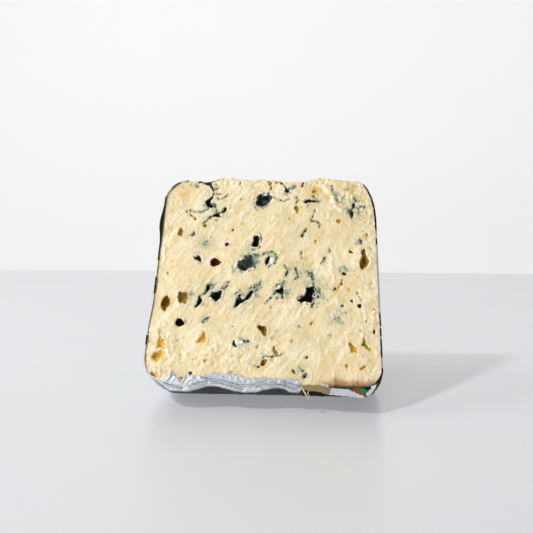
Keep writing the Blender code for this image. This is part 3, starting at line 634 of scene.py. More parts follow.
# White torn flakes: the same
WHITE_FLAKES = (
    (2.3, 0.7, 1.25, ((23.7, 2.7), (26, 5.3), (27.8, 8.8), (29.2, 11.8))),
    (1.3, 0.5, 1.4, ((28.6, 10.6), (30.5, 14.3), (32.1, 16.3))),
    (0.9, 0.3, 1.5, ((-37.7, 24.9), (-37.2, 23.9))),
    (0.8, 0.2, 1.7, ((-17.3, 30.5), (-17.7, 32.2))),
    (0.9, 0.2, 1.8, ((-3.4, 29.2), (-3.2, 32.8))),
    (1.7, 0.25, 1.9, ((2.1, 38.5), (1.8, 40.2), (1.4, 41.6))),
    (0.7, 0.2, 1.8, ((5.9, 52.6), (7.9, 53.5))),
    (0.8, 0.25, 1.8, ((-34.7, 67.4), (-34, 68.6))),
    (1.9, 0.5, 1.6, ((-11.1, 77.2), (-10.1, 79), (-9.3, 77.9))),
    (0.7, 0.3, 1.7, ((0, 83.8), (1.4, 84.2), (2.3, 85))),
    (0.7, 0.3, 1.5, ((28.3, 64.6), (29.3, 66.9), (31.2, 68.6))),
    (0.6, 0.3, 1.5, ((29.9, 63.4), (30.7, 65.8), (32.4, 67.8))),
    (0.6, 0.25, 1.4, ((27.6, 66.9), (29.2, 69.0))),
    (0.7, 0.3, 1.6, ((32.0, 63.9), (33.0, 66.4), (34.4, 68.4))),
    (0.5, 0.2, 1.4, ((31.2, 69.6), (32.6, 70.6))),
    (1, 0.3, 1.3, ((44.7, 36.1), (44.9, 40.8))),
    (0.8, 0.3, 1.4, ((12.3, 18.8), (14.1, 16.9))),
    (0.7, 0.3, 1.4, ((-28.7, 37.6), (-27.9, 39.9))),
    (0.8, 0.3, 1.3, ((37, 37.6), (38.6, 37.1))),
    (0.9, 0.35, 1.4, ((-33.8, 58.7), (-32.4, 61), (-34, 61.7))),
    (0.8, 0.25, 1.5, ((-37.1, 62), (-35.2, 61.2))),
    (0.7, 0.25, 1.3, ((-42.6, 76.2), (-41.1, 78.6))),
    (0.9, 0.35, 1.3, ((-41, 79.4), (-40.1, 82.9), (-39.4, 86))),
    (0.9, 0.3, 1.2, ((-47.1, 81.3), (-45.3, 81.9))),
    (0.8, 0.3, 1.3, ((-38.3, 84.2), (-36, 86.3))),
    (0.9, 0.35, 1.3, ((-33.8, 82.2), (-32, 84.1))),
    (0.8, 0.3, 1.3, ((-28.2, 82.7), (-26, 84.9))),
    (0.8, 0.35, 1.3, ((-21.8, 84.4), (-19.2, 86))),
    (0.8, 0.3, 1.3, ((-15.5, 84.3), (-12.9, 85.5))),
    (0.9, 0.3, 1.2, ((-8.3, 85.9), (-5.4, 84.1))),
    (0.9, 0.35, 1.2, ((42.5, 87.3), (43.7, 88.8))),
    (0.8, 0.3, 1.4, ((21.9, 4.3), (22.8, 2.5))),
    (0.7, 0.3, 1.3, ((33.6, 3), (32.7, 6.3), (33.4, 8.8))),
    (0.8, 0.3, 1.3, ((35.9, 8.8), (34.7, 12.3))),
    (0.8, 0.35, 1.3, ((40.7, 17.3), (42.4, 20.2))),
    (0.8, 0.3, 1.3, ((43.3, 18.3), (44.8, 21.7))),
    (0.7, 0.3, 1.2, ((45.8, 29.4), (46.4, 34.7))),
    (0.7, 0.3, 1.2, ((18.8, 88.8), (19.8, 90.9), (19.4, 93.4))),
    (0.7, 0.25, 1.3, ((15.1, 89.1), (16.7, 90.7))),
)

# How far the crumbled top edge of the front lies below the wheel's axis: right, down
TOP_EDGE = (
    (-38.0, 1.4),
    (-33.9, 1.2),
    (-29.3, 1.8),
    (-25.1, 1.3),
    (-22.4, -0.3),
    (-20.1, 0.2),
    (-17.3, -0.3),
    (-14.1, 0.7),
    (-2.7, 0.8),
    (1.9, 1.2),
    (7.4, 1.7),
    (10.1, 2.2),
    (12.8, 1.3),
    (15.6, 2.1),
    (18.7, 0.7),
    (21.4, -0.2),
    (24.2, -0.2),
    (29.6, 0.7),
    (37.2, 1.7),
    (42.0, 1.8),
)

# How far the front's top edge is ragged besides, over what size, and where it fades out
TOP_EDGE_RAGGEDNESS = 0.3
TOP_EDGE_TOOTH = 2.2
TOP_EDGE_FADE = 14.0

# Holes of the back cut, drawn with the solid model's rule
BACK_SEED = 28
BACK_HOLES = 34
BACK_HOLE_WIDTH = (2.4, 7.4)
BACK_HOLE_STRETCH = (0.8, 1.7)
BACK_HOLE_HEIGHT_LIMIT = 9.0
BACK_HOLE_LEAN = 45
BACK_HOLE_SPREAD = 0.88
BACK_HOLE_SPACING = 9.0
BACK_EDGE_MARGIN = 7.0
# Its smaller marks, as many as the front has, and where they lie: right, down
BACK_SMALL_HOLES = 34
BACK_SMALL_HOLE_WIDTH = (0.9, 2.4)
BACK_SMALL_HOLE_HEIGHT = (0.9, 2.8)
BACK_SMALL_HOLE_LEAN = 40
BACK_VEINS = 44
BACK_SMUDGES = 60
BACK_CASTS = 30
BACK_RIDGES = 34
BACK_MARKS_RIGHT = (-43, 43)
BACK_MARKS_DOWN = (3, 92)

# Tiny flecks all over both cuts: how many, where (right, down), and their size
SPECKS = 90
SPECKS_RIGHT = (-46, 46)
SPECKS_DOWN = (2, 94)
SPECK_SIZE = (0.3, 0.65)

# A distance that means nowhere near a hole
FAR_OUTSIDE = -4.0

# Foil, drawn thicker than the real 0.02 mm so that its two sides stay apart
FOIL_THICKNESS = 0.10
# How high the foil begins on the flat sides: -1 is the top edge and 1 the rim
FOIL_TOP = -0.9
# Steps of the foil down the left side, along the rim and up the right side, and between the cuts
FOIL_COLUMNS = (76, 224, 76)
FOIL_ROWS = 62
# How near a cut the foil hangs in folds
FOLD_REACH = math.radians(9)
# Its crumpled facets: their size, their height, and how much higher they are on the rim
FACET_SIZE = 8.0
FACET_HEIGHT = 0.45
HIGHER_ON_RIM = 0.35
# The fine streaks on the rim
STREAK_SIZE = 2.6
STREAK_HEIGHT = 0.45
# This part of the facets' height is pressed flat at the cuts
PRESSED_AT_CUTS = 0.75
# The foil lies no nearer the paste than this
LEAST_STAND_OFF = 0.06
# How strong the creases of one size are, and those of each half as large again
CREASE_WEIGHTS = (1.0, 0.5, 0.28)
# The torn lip's reach up the back cut
BACK_LIP_REACH = 3.6
# Where, from the left, shade begins to be painted on the foil under the rim
PAINTED_SHADE_FROM = (-44.0, -38.0)
# The rounded hem where it turns over the rim's edge, and the torn lip that lies on the cut
HEM_RADIUS = 0.35
HEM_ROWS = 4
LIP_ROWS = 30
# How far the lip lies off the cut along the rim and along the flat sides
LIP_GAP = 0.75
SIDE_GAP = 0.25
# The foil always turns over a cut this far
LEAST_REACH = 0.15
# Where the foil is torn off along the front edge, under the flap
TORN_OFF_ACROSS = (15.8, 17.0)
# How far the foil hangs below the front edge of the rim, in two arched folds: across, drop
FOIL_HANG = (
    (-43.0, 0.1),
    (-41.0, 0.6),
    (-39.5, 1.6),
    (-37.5, 2.5),
    (-31.1, 2.7),
    (-28.6, 2.2),
    (-25.4, 1.0),
    (-23.0, 0.25),
    (-20.9, 0.05),
    (-18.0, 0.2),
    (-15.1, 0.9),
    (-11.3, 2.0),
    (-6.8, 2.5),
    (-1.5, 2.2),
    (0.2, 1.6),
    (3.4, 0.7),
    (6.7, 0.2),
    (9.1, 0.8),
    (11.6, 1.9),
    (15.2, 2.2),
    (16.4, 0.8),
    (17.2, 0.1),
    (49.0, 0.1),
)
# Creases of the lip, alongside its folds: how far each stands out, and its places (across, rise)
FOIL_CREASES = (
    (0.40, (
        (-31.5, -2.3), (-28.2, -1.7), (-25.4, -0.5), (-23.0, 0.5), (-20.9, 0.8), (-18.0, 0.5),
        (-14.8, -0.5), (-11.0, -1.6),
    )),
    (-0.40, (
        (-29.5, -1.0), (-25.5, 0.4), (-21.0, 1.5), (-17.7, 1.2), (-14.4, 0.1), (-10.5, -1.0),
        (-7.0, -1.6),
    )),
    (0.40, (
        (-29.0, 0.4), (-25.5, 1.3), (-21.0, 2.3), (-17.0, 1.9), (-13.2, 0.6), (-9.0, -0.4),
        (-3.0, -0.1), (1.0, 0.6),
    )),
    (-0.35, (
        (-23.0, 3.2), (-19.8, 2.7), (-16.4, 2.3), (-12.8, 1.1), (-8.9, 0.3), (-2.7, 0.6),
        (2.0, 1.5),
    )),
    (0.30, ((-31.0, 1.4), (-27.6, 2.3), (-25.0, 2.9))),
    (-0.30, ((-41.5, 0.6), (-38.5, 0.1), (-35.0, -0.9), (-31.5, -1.7))),
    (0.30, ((-41.0, -0.5), (-37.0, -1.0), (-33.5, -1.9))),
    (0.40, ((-0.5, -1.8), (3.4, -0.4), (6.7, 0.3), (9.4, -0.4), (12.0, -1.7))),
    (-0.40, ((-1.5, -0.4), (3.0, 0.6), (6.9, 1.1), (10.3, 0.3), (13.5, -0.8), (15.5, -1.6))),
    (0.35, ((7.3, 1.5), (10.8, 0.9), (15.0, -0.4))),
    (-0.30, ((2.0, 2.4), (6.0, 1.9), (9.5, 1.9), (13.5, 1.2))),
    (-0.30, ((-37.4, 5.4), (-37.2, 3.0), (-38.5, 1.2))),
    (-0.30, ((-31.2, 4.4), (-30.9, 2.6), (-31.8, 1.0))),
)
CREASE_WIDTH = 0.8
# The facets and the hairlines of the lip: size and height
LIP_FACETS = (2.6, 0.2)
LIP_HAIRLINES = (0.5, 0.07)
# The deepest hollow of the lip
LIP_HOLLOW = 0.55
# The torn foil's reach up the front cut: across, reach
TORN_EDGE = (
    (-43.0, 0.1),
    (-41.6, 0.6),
    (-40.8, 1.7),
    (-39.3, 3.9),
    (-38.2, 5.1),
    (-37.2, 5.7),
    (-36.3, 3.4),
    (-34.8, 2.3),
    (-33.8, 0.6),
    (-32.4, 1.8),
    (-31.5, 4.4),
    (-31.0, 5.6),
    (-30.2, 3.6),
    (-24.6, 3.4),
    (-20.3, 4.8),
    (-14.0, 4.5),
    (-9.3, 4.2),
    (-6.5, 2.8),
    (-2.6, 2.8),
    (-0.7, 3.3),
    (5.3, 3.1),
    (9.4, 2.8),
    (12.3, 3.0),
    (14.8, 2.4),
    (15.8, 1.4),
    (16.2, 0.2),
    (23.9, 0.2),
    (24.3, 1.6),
    (25.6, 1.0),
    (26.9, 1.7),
    (27.4, 0.2),
    (49.0, 0.2),
)

# Labels
LABEL_GAP = 0.12
LABEL_THICKNESS = 0.14
# Where foil and label stand off the paste at the front's left edge
LEFT_BULGE_DOWN = 22.5
LEFT_BULGE_REACH = 10.0
LEFT_BULGE_HEIGHT = 1.1
# Steps of a label between the cuts, down its side, and over the top corner
LABEL_ROWS = 70
LABEL_STEPS = 130
LABEL_TOP_STEPS = 14
# The reach of a label's torn margin over the back cut, how uneven it is, and over what length
BACK_MARGIN = 0.4
BACK_MARGIN_UNEVEN = 0.35
BACK_MARGIN_SIZE = 6.0
# Each label's reach over the top edge and down its side, as parts of the section
LEFT_LABEL_REACH = (0.20, 0.92)
RIGHT_LABEL_REACH = (0.10, 1.0)
# The width of each label's dark margin, folded over the front cut: down, width
LEFT_MARGIN = (
    (1.0, 0.22),
    (5.0, 0.22),
    (6.0, 0.05),
    (8.0, 0.05),
    (9.0, 0.22),
    (14.0, 0.25),
    (23.5, 0.35),
    (36.0, 0.25),
    (41.0, 0.22),
    (41.5, 0.05),
    (48.8, 0.05),
    (49.2, 0.4),
    (55.8, 0.4),
    (56.2, 0.05),
    (74.8, 0.05),
    (75.2, 0.4),
    (79.8, 0.35),
    (80.2, 0.05),
    (96.0, 0.05),
)
RIGHT_MARGIN = (
    (2.0, 0.25),
    (5.0, 0.45),
    (13.0, 0.5),
    (24.0, 0.3),
    (28.0, 0.15),
    (31.0, 0.25),
    (40.0, 0.05),
    (58.0, 0.1),
    (66.0, 0.25),
    (84.0, 0.22),
    (86.0, 0.1),
    (90.0, 0.25),
    (92.0, 0.3),
    (96.2, 0.3),
)
# A margin wider than this shows its dark print, and a narrower one the paper's white torn edge
DARK_MARGIN = 0.2
# Rows of a label sheet that show that margin: six fold over the cut, two lie on the side
EDGE_ROWS = 8

# Label paper and its fields of print: name, colour, colour where it is rubbed, roughness
PAPERS = (
    ("torn_white_paper", "C6C9CE", "A9ABB0", 0.6),
    ("kraft_paper", "93815F", "7A6A4C", 0.65),
    ("green_print", "17844F", "0F5A3A", 0.4),
    ("black_green_print", "0D120F", "2C2620", 0.6),
    ("ochre_print", "75502A", "58391C", 0.5),
    ("cream_print", "DECDA9", "B99B6C", 0.4),
    ("brown_print", "2E1E12", "4E3822", 0.6),
)
WHITE, KRAFT, GREEN, BLACK, OCHRE, CREAM, BROWN = range(len(PAPERS))

# The torn end of the right label, folded down in front of the rim.  Its crest and its torn end
# are places (across, fall below the rim's front edge)
FLAP_STARTS_AT = 16.3
FLAP_ENDS_AT = 45.8
FLAP_CREST = (
    (16.3, 0.5),
    (17.3, -0.3),
    (24.2, -0.3),
    (28.2, 0.6),
    (35.9, 1.0),
    (38.7, 0.6),
    (41.0, 0.3),
    (46.0, 0.5),
    (48.0, 0.2),
)
FLAP_END = (
    (16.3, 1.3),
    (18.9, 1.9),
    (23.0, 2.4),
    (24.6, 2.8),
    (27.4, 3.7),
    (31.8, 3.9),
    (35.8, 4.4),
    (40.6, 4.9),
    (42.0, 4.6),
    (43.6, 3.3),
    (44.8, 2.0),
    (46.4, 0.8),
)
# Steps of the path that the flap's columns are taken from, its rows under the rim with the
# first and the last one's turn in degrees, and its rows in front
FLAP_PATH_STEPS = (40, 900, 40)
FLAP_ROWS_UNDER = 9
FLAP_TURNS = (-16, -27.4)
FLAP_ROWS = 40
# How uneven its crest and its torn end are, and how far it buckles: size and height
FLAP_CREST_UNEVEN = (1.5, 0.12)
FLAP_END_UNEVEN = (1.3, 0.25)
FLAP_BUCKLES = (4.0, 0.3)
# How far it lies off the cut at its crest, and how much farther for each millimetre of its fall
FLAP_GAP = 0.95
FLAP_SPREAD = 0.45
# The ragged borders of its fields
FLAP_BORDERS = (1.0, 0.3)
# Fields of plain colour on the flap: which colour, and its corners (across, fall)
FLAP_FIELDS = (
    (KRAFT, ((15.0, -1.0), (28.3, -1.0), (28.2, 0.6), (27.5, 4.5), (15.0, 4.5))),
    (OCHRE, (
        (35.3, 1.3), (38.7, 0.2), (40.6, 0.2), (41.1, 2.4), (41.8, 3.9), (42.2, 4.8), (39.1, 3.1),
    )),
    (BLACK, ((39.6, -0.8), (45.8, -0.8), (43.8, 1.2), (42.6, 2.2), (40.3, 0.9))),
    (GREEN, ((40.3, 0.5), (41.9, 1.1), (42.8, 2.1), (41.6, 3.3), (40.8, 2.6))),
)
# Steps along a shred of torn paper, and how far it lies off the cut: at the rim's edge, for each
# millimetre of its fall, and along its ridge
SHRED_STEPS = 25
SHRED_GAP = 1.5
SHRED_SPREAD = 0.28
SHRED_RIDGE = 0.25
# Two shreds that hang at the flap's left end: width, and places (across, fall)
SHREDS = (
    (0.8, ((16.1, 0.2), (17.2, 2.2), (18.4, 4.3), (19.0, 5.3), (19.5, 6.3))),
    (0.5, ((19.3, 2.2), (18.8, 3.5), (19.6, 4.5), (20.8, 4.9))),
)

# Rings of plain colour on the labels: where each ends, down from the wheel's axis, and its colour
RING_EDGES = (22.0, 23.2, 40.0, 41.4, 62.0, 63.2, 82.0, 83.6, 94.5)
RING_FIELDS = (BLACK, CREAM, GREEN, CREAM, BLACK, CREAM, GREEN, CREAM, BLACK, WHITE)

# The clean cut paste, and its mould holes' lining from nearly black, which is painted shade, to
# grey-green mould
PASTE_COLOR = "F2E1B8"
LINING_SHADE_TO_MOULD = ("101516", "8C9A8C")
# Patterns in the paste: name, size of their lumps in millimetres, detail.  The crumb is drawn
# about twice as coarse as it is, because one pixel of the picture covers half a millimetre.
PASTE_NOISE = (
    ("fine", 0.9, 4.0),
    ("broad", 9.0, 3.0),
    ("dried", 3.6, 3.0),
    ("flecks", 1.5, 3.0),
    ("smear_tan", 1.3, 3.0),
    ("smear_pale", 1.8, 3.0),
    ("gloss", 2.5, 3.0),
    ("crumb", 1.1, 5.0),
)
# The knife's direction over the front cut, and how much longer than wide its smears are
KNIFE_ALONG = (
    math.cos(KNIFE_ANGLE),
    math.sin(KNIFE_ANGLE) * math.sin(HALF_ANGLE),
    math.sin(KNIFE_ANGLE) * math.cos(HALF_ANGLE),
)
SMEAR_STRETCH = 7.0
# Uneven colour of the paste: which noise, where it begins and is full, strength, colour
PASTE_PATCHES = (
    ("broad", 0.38, 0.62, 1.0, "EDD8A9"),
    ("dried", 0.5, 0.72, 0.5, "E0C07C"),
    ("flecks", 0.6, 0.78, 0.35, "D9B872"),
    ("smear_tan", 0.54, 0.72, 0.6, "DDBD7C"),
    ("smear_pale", 0.54, 0.7, 0.8, "FAF0D2"),
)
# Marks laid over the paste, the last on top: which named value, how much fine noise breaks its
# edge, where it begins and is full, strength, and its colour or lining
PASTE_MARKS = (
    # Pale marks: stretched or torn paste, partly painted highlight
    ("pale", 0.5, 0.0, 1.1, 1.0, "F8EDCC"),
    ("amber", 0.6, 0.05, 0.95, 1.0, "DFB552"),
    ("grey", 0.0, 0.0, 1.0, 1.0, "B8BD98"),
    ("rind", 0.5, 0.05, 0.95, 1.0, "A8763E"),
    # Dark brown rind at the rim's edge, partly painted shade
    ("rind", 0.5, 0.95, 1.5, 1.0, "5E3A1C"),
    ("haze", 0.7, 0.05, 0.75, 0.85, "86937C"),
    ("pale", 0.5, 1.0, 1.5, 1.0, "FAF7F0"),
    ("haze", 1.9, 0.6, 0.88, 1.0, "2C3936"),
    ("bare", 0.35, -0.08, 0.14, 1.0, "resin"),
    # Mould holes' linings, nearly black where shade is painted in
    ("hole", 0.4, -0.08, 0.14, 1.0, "shade_to_mould"),
)
# The bare holes' resinous lining, from nearly black, partly painted shade in the deep ones, to
# amber: how light, and its colour
RESIN_STOPS = (
    (0.0, "1E140C"),
    (0.27, "6E3514"),
    (0.36, "5C4012"),
    (0.45, "80560E"),
    (0.56, "A67C1C"),
    (0.62, "8F7F42"),
    (0.74, "9C8B50"),
    (0.84, "C9941C"),
    (0.93, "E6B645"),
    (1.0, "F0CC72"),
)

# The paste's gloss from moist to dry, its fine crumb's height, and the light under its skin: how
# much, how far red, green and blue go, and to what depth.  It bends light more than water does and
# less than butterfat.
PASTE_ROUGHNESS = (0.3, 0.55)
CRUMB_HEIGHT = 0.5
SKIN_GLOW = 0.2
SKIN_GLOW_RADIUS = (1.0, 0.7, 0.4)
SKIN_GLOW_DEPTH = 0.8
PASTE_IOR = 1.42

# The foil's two shades clean, and its two darker ones where shade is painted on; its roughness,
# and the size of its clouds and crinkles
FOIL_COLORS = ("A6A9B0", "D2D5DB")
PAINTED_SHADE_COLORS = ("1E1D1C", "6C6C6C")
FOIL_ROUGHNESS = (0.5, 0.68)
FOIL_CLOUD_SIZE = 4.0
FOIL_CRINKLE_SIZE = 1.6
FOIL_CRINKLE_HEIGHT = 0.3

# The paper's clouds, and its felted fibres, drawn much coarser than real ones so that they show
PAPER_CLOUD_SIZE = 5.0
FIBRE_SIZE = 0.7
FIBRE_HEIGHT = 0.2
PAPER_SPECULAR = 0.05

# Sockets of a Mix node that blends two colours
FACTOR, UNDER, OVER, BLEND = 0, 6, 7, 2

# Camera
IMAGE_SIDE = 533
FOCAL_PIXELS = 800.0
SENSOR = 36.0
CAMERA_AZIMUTH = math.radians(4.34)
CAMERA_PITCH = math.radians(5.6)
CAMERA_DISTANCE = 366.9
CAMERA_HEIGHT = 91.3
CAMERA_ASIDE = -1.55

# Lamps: name, direction of their light, distance and width in metres, and watts
LAMPS = (
    ("key", (0.79, 0.75, -1.0), 1.2, 0.10, 8.5),
    ("fill", (1.0, 0.12, -0.45), 1.3, 0.7, 5.6),
    ("front", (0.15, 1.0, -0.32), 1.6, 0.8, 5.6),
)
LAMPS_AIM = (0, 0, 0.04)
ROOM_BRIGHTNESS = 0.12

# The table's and the wall's edges
STAGE_HALF_WIDTH = 2500.0
TABLE_FRONT = -900.0
TABLE_END = 503.0
WALL_BEHIND_TABLE = 900.0
WALL_FOOT = -1200
WALL_TOP = 1800
# Their looks: material, colour, cloud colour, glow colour, roughness and strength of the glow
PALE_TABLE = ("pale_table", "B6B6B7", "B0B1B3", "F1F3F8", 0.32, 0.31)
PALE_WALL = ("pale_wall", "F2F2F2", "EEEEEF", "F2F2F2", 0.9, 0.62)
STAGE_CLOUD_SIZE = 60.0


# ---------------------------------------------------------------- noise and curves


def smooth_step(low, high, value):
    """0 at low, 1 at high, and a smooth rise between them."""
    part = np.clip((value - low) / (high - low), 0.0, 1.0)
    return part * part * (3 - 2 * part)


def hashed(column, row, seed):
    """An even random number from 0 to 1 for each cell of a grid."""
    mixed = column.astype(np.int64) * 374761393 + row.astype(np.int64) * 668265263
    mixed = (mixed + seed * 1442695041) & 0xFFFFFFFF
    mixed = ((mixed ^ (mixed >> 13)) * 1274126177) & 0xFFFFFFFF
    return ((mixed ^ (mixed >> 16)) & 0xFFFFFF) / float(0x1000000)


def ripples(x, y, size, seed):
    """Smooth noise between about -1 and 1 that changes over the given size.

    Each pattern of the part has its own seed, so that no two of them look alike.
    """
    x, y = np.asarray(x, float) / size, np.asarray(y, float) / size
    column, row = np.floor(x), np.floor(y)
    part_x, part_y = x - column, y - row
    ease_x = part_x**3 * (part_x * (part_x * 6 - 15) + 10)
    ease_y = part_y**3 * (part_y * (part_y * 6 - 15) + 10)
    total = 0.0
    for step_x in (0, 1):
        for step_y in (0, 1):
            angle = 2 * np.pi * hashed(column + step_x, row + step_y, seed)
            slope = np.cos(angle) * (part_x - step_x) + np.sin(angle) * (part_y - step_y)
            weight = (ease_x if step_x else 1 - ease_x) * (ease_y if step_y else 1 - ease_y)
            total = total + weight * slope
    return total * 1.5


def layered(x, y, size, seed, layers=3):
    """Ripples with finer and weaker ripples on top of them."""
    return sum(ripples(x, y, size / 2**n, seed + 17 * n) / 2**n for n in range(layers))


def lumps(x, y, size, seed):
    """Round lumps about size wide: 1 on top of each and 0 between them."""
    x, y = np.asarray(x, float) / size, np.asarray(y, float) / size
    column, row = np.floor(x), np.floor(y)
    nearest = np.full(np.shape(x), 9.0)
    for step_x in (-1, 0, 1):
        for step_y in (-1, 0, 1):
            centre_x = column + step_x + hashed(column + step_x, row + step_y, seed)
            centre_y = row + step_y + hashed(column + step_x, row + step_y, seed + 5)
            nearest = np.minimum(nearest, np.hypot(x - centre_x, y - centre_y))
    return np.clip(1 - nearest * nearest, 0, 1)


def distance_to_line(x, y, line):
    """The distance from each place to a line through the given points."""
    nearest = np.full(np.shape(x), 1e9)
    for (x0, y0), (x1, y1) in zip(line, line[1:]):
        run_x, run_y = x1 - x0, y1 - y0
        part = np.clip(((x - x0) * run_x + (y - y0) * run_y) / (run_x**2 + run_y**2), 0, 1)
        nearest = np.minimum(nearest, np.hypot(x - x0 - part * run_x, y - y0 - part * run_y))
    return nearest


# ---------------------------------------------------------------- the wedge's form


def top_edge(across):
    """How far below the wheel's axis the crumbled top edge lies."""
    ragged = TOP_EDGE_RAGGEDNESS * ripples(across, 0.0 * across, TOP_EDGE_TOOTH, 4)
    return np.interp(across, *zip(*TOP_EDGE)) + ragged


def section_point(s, t):
    """Places (across, down) of the cut face from s and t, which run from -1 to 1 over a square."""
    left, top = s < 0, t < 0
    y = (t + 1) / 2 * WHEEL_RADIUS
    width = HALF_WIDTH_AT_AXIS + (HALF_WIDTH_AT_RIM - HALF_WIDTH_AT_AXIS) * (t + 1) / 2
    width = width + LEFT_HEEL * smooth_step(*LEFT_HEEL_DOWN, y) * left
    x = s * width

    def corner_reach(part):
        """The reach of each place's own corner: across for part 0, down for part 1."""
        at_top = np.where(left, TOP_LEFT_CORNER[part], TOP_RIGHT_CORNER[part])
        at_rim = np.where(left, RIM_LEFT_CORNER[part], RIM_RIGHT_CORNER[part])
        return np.where(top, at_top, at_rim)

    reach_x, reach_y = corner_reach(0), corner_reach(1)
    from_side = (np.abs(x) - (width - reach_x)) / reach_x
    from_end = np.where(top, reach_y - y, y - (WHEEL_RADIUS - reach_y)) / reach_y
    inside = (from_side > 0) & (from_end > 0)
    shrink = np.maximum(from_side, from_end) / np.maximum(np.hypot(from_side, from_end), 1e-9)
    round_x = np.copysign(width - reach_x + reach_x * from_side * shrink, x)
    end = reach_y * from_end * shrink
    round_y = np.where(top, reach_y - end, WHEEL_RADIUS - reach_y + end)
    x, y = np.where(inside, round_x, x), np.where(inside, round_y, y)
    return x, y + (1 - smooth_step(0.0, TOP_EDGE_FADE, y)) * top_edge(x)


def turned(across, down, turn, floor):
    """World points, in millimetres, of places on the wedge. Nothing passes below floor."""
    reach = np.hypot(down * math.sin(HALF_ANGLE), TIP_HALF_THICKNESS)
    y = reach * np.sin(turn) / math.sin(HALF_ANGLE)
    z = np.maximum(AXIS_HEIGHT - down * np.cos(turn), floor)
    return np.stack([across + 0.0 * y, y, z], -1)


def face_normal(side):
    """The outward normal of the front cut (side -1) or the back cut (side 1)."""
    return np.array([0.0, side * math.cos(HALF_ANGLE), math.sin(HALF_ANGLE)])


def distance_into(x, y, outline):
    """How far each place is inside a closed outline, negative outside it."""
    corners = list(outline) + [outline[0]]
    inside = np.zeros(np.shape(x), bool)
    for (x0, y0), (x1, y1) in zip(corners, corners[1:]):
        if y0 != y1:
            inside ^= ((y0 > y) != (y1 > y)) & (x < x0 + (y - y0) * (x1 - x0) / (y1 - y0))
    away = distance_to_line(x, y, corners)
    return np.where(inside, away, -away)


def rough_outline(right, down, width, height, lean):
    """The corners of an uneven hole of about this size; a large one has deep notches."""
    draw = random.Random(int(abs(right * 70 + down * 130)))
    corners, least_reach = (11, 0.55) if max(width, height) > 3.5 else (6, 0.8)
    turn = math.radians(lean)
    outline = []
    for number in range(corners):
        heading = 2 * math.pi * (number + draw.uniform(-0.35, 0.35)) / corners
        reach = draw.uniform(least_reach, 1.25)
        x = reach * width / 2 * math.cos(heading)
        y = reach * height / 2 * math.sin(heading)
        corner_right = right + x * math.cos(turn) - y * math.sin(turn)
        corner_down = down - x * math.sin(turn) - y * math.cos(turn)
        outline.append((corner_right, corner_down))
    return outline


def back_hole_places():
    """The solid model's seeded holes, spaced apart and clear of the back cut's edges."""
    draw = random.Random(BACK_SEED)
    places = []
    while len(places) < BACK_HOLES:
        across = draw.uniform(-HALF_WIDTH_AT_AXIS, HALF_WIDTH_AT_AXIS) * BACK_HOLE_SPREAD
        down = draw.uniform(BACK_EDGE_MARGIN, WHEEL_RADIUS - BACK_EDGE_MARGIN)
        width = draw.uniform(*BACK_HOLE_WIDTH)
        height = min(width * draw.uniform(*BACK_HOLE_STRETCH), BACK_HOLE_HEIGHT_LIMIT)
        lean = draw.uniform(-BACK_HOLE_LEAN, BACK_HOLE_LEAN)
        if all(math.hypot(across - p[0], down - p[1]) > BACK_HOLE_SPACING for p in places):
            places.append((across, down, width, height, lean))
    return [(-across, down, width, height, -lean) for across, down, width, height, lean in places]


def back_details(face):
    """Holes, veins, smears and ridges of the back cut, as many and as large as the front's."""
    draw = random.Random(BACK_SEED + 1)

    def place():
        """Somewhere on the cut."""
        return draw.uniform(*BACK_MARKS_RIGHT), draw.uniform(*BACK_MARKS_DOWN)

    def line(steps, step, bend):
        """A wandering line from somewhere on the cut, which bends up to an angle at each step."""
        right, down = place()
        heading = draw.uniform(0, 2 * math.pi)
        points = [(right, down)]
        for _ in range(steps):
            heading += draw.uniform(-bend, bend)
            right += step * math.cos(heading)
            down = max(down + step * math.sin(heading), 0.5)
            points.append((right, down))
        return points

    holes = back_hole_places()
    for _ in range(BACK_SMALL_HOLES):
        right, down = place()
        width = draw.uniform(*BACK_SMALL_HOLE_WIDTH)
        height = draw.uniform(*BACK_SMALL_HOLE_HEIGHT)
        lean = draw.uniform(-BACK_SMALL_HOLE_LEAN, BACK_SMALL_HOLE_LEAN)
        holes.append((right, down, width, height, lean))
    for number, hole in enumerate(holes):
        bare = number % 3 == 2
        tone = draw.uniform(0.1, 0.95) if bare else draw.uniform(0.0, 0.5)
        face.hole_at(bare, tone, rough_outline(*hole))
        if bare:
            continue
        right, down, width = hole[:3]
        face.smudge(right + 0.6 * width, down, 1.7, 0.6)
        face.cast("grey", right, down, 1.5 * width + 1, 0.5)
        tail = width * draw.uniform(0.9, 1.6)
        bend = (right + 0.6 * tail, down - 0.5 * tail)
        tip = (right + 0.8 * tail, down - 1.1 * tail)
        face.vein(MOULD, draw.uniform(0.7, 1.3), ((right, down), bend, tip))
    for _ in range(BACK_VEINS):
        kind = draw.choice((CRACK, MOULD, MOULD, RUST))
        face.vein(kind, draw.uniform(0.5, 1.0), line(4, 1.8, 0.9))
    for _ in range(BACK_SMUDGES):
        face.smudge(*place(), draw.uniform(0.8, 2.6), draw.uniform(0.4, 0.75))
    for _ in range(BACK_CASTS):
        name = draw.choice(("grey", "amber"))
        face.cast(name, *place(), draw.uniform(2.5, 6.0), draw.uniform(0.25, 0.5))
    for _ in range(BACK_RIDGES):
        width, height = draw.uniform(0.6, 1.2), draw.uniform(0.15, 0.35)
        face.ridge(width, height, draw.uniform(0.9, 1.6), line(2, 4.0, 0.2))


def front_details(face):
    """What the photographed cut shows, place by place."""
    for hole in OUTLINED_HOLES:
        face.hole_at(*hole)
    for hole in SMALL_MOULD_HOLES:
        face.hole_at(MOULDY, SMALL_MOULD_SHADE_TONE, rough_outline(*hole))
    for *hole, tone in SMALL_BARE_HOLES:
        face.hole_at(BARE, tone, rough_outline(*hole))
    for vein in VEINS:
        face.vein(*vein)
    for smear in MOULD_SMEARS:
        face.smudge(*smear)
    for cast in GREY_CAST:
        face.cast("grey", *cast)
    for cast in YELLOW_CAST:
        face.cast("amber", *cast)
    for ridge in RIDGES + WHITE_FLAKES:
        face.ridge(*ridge)


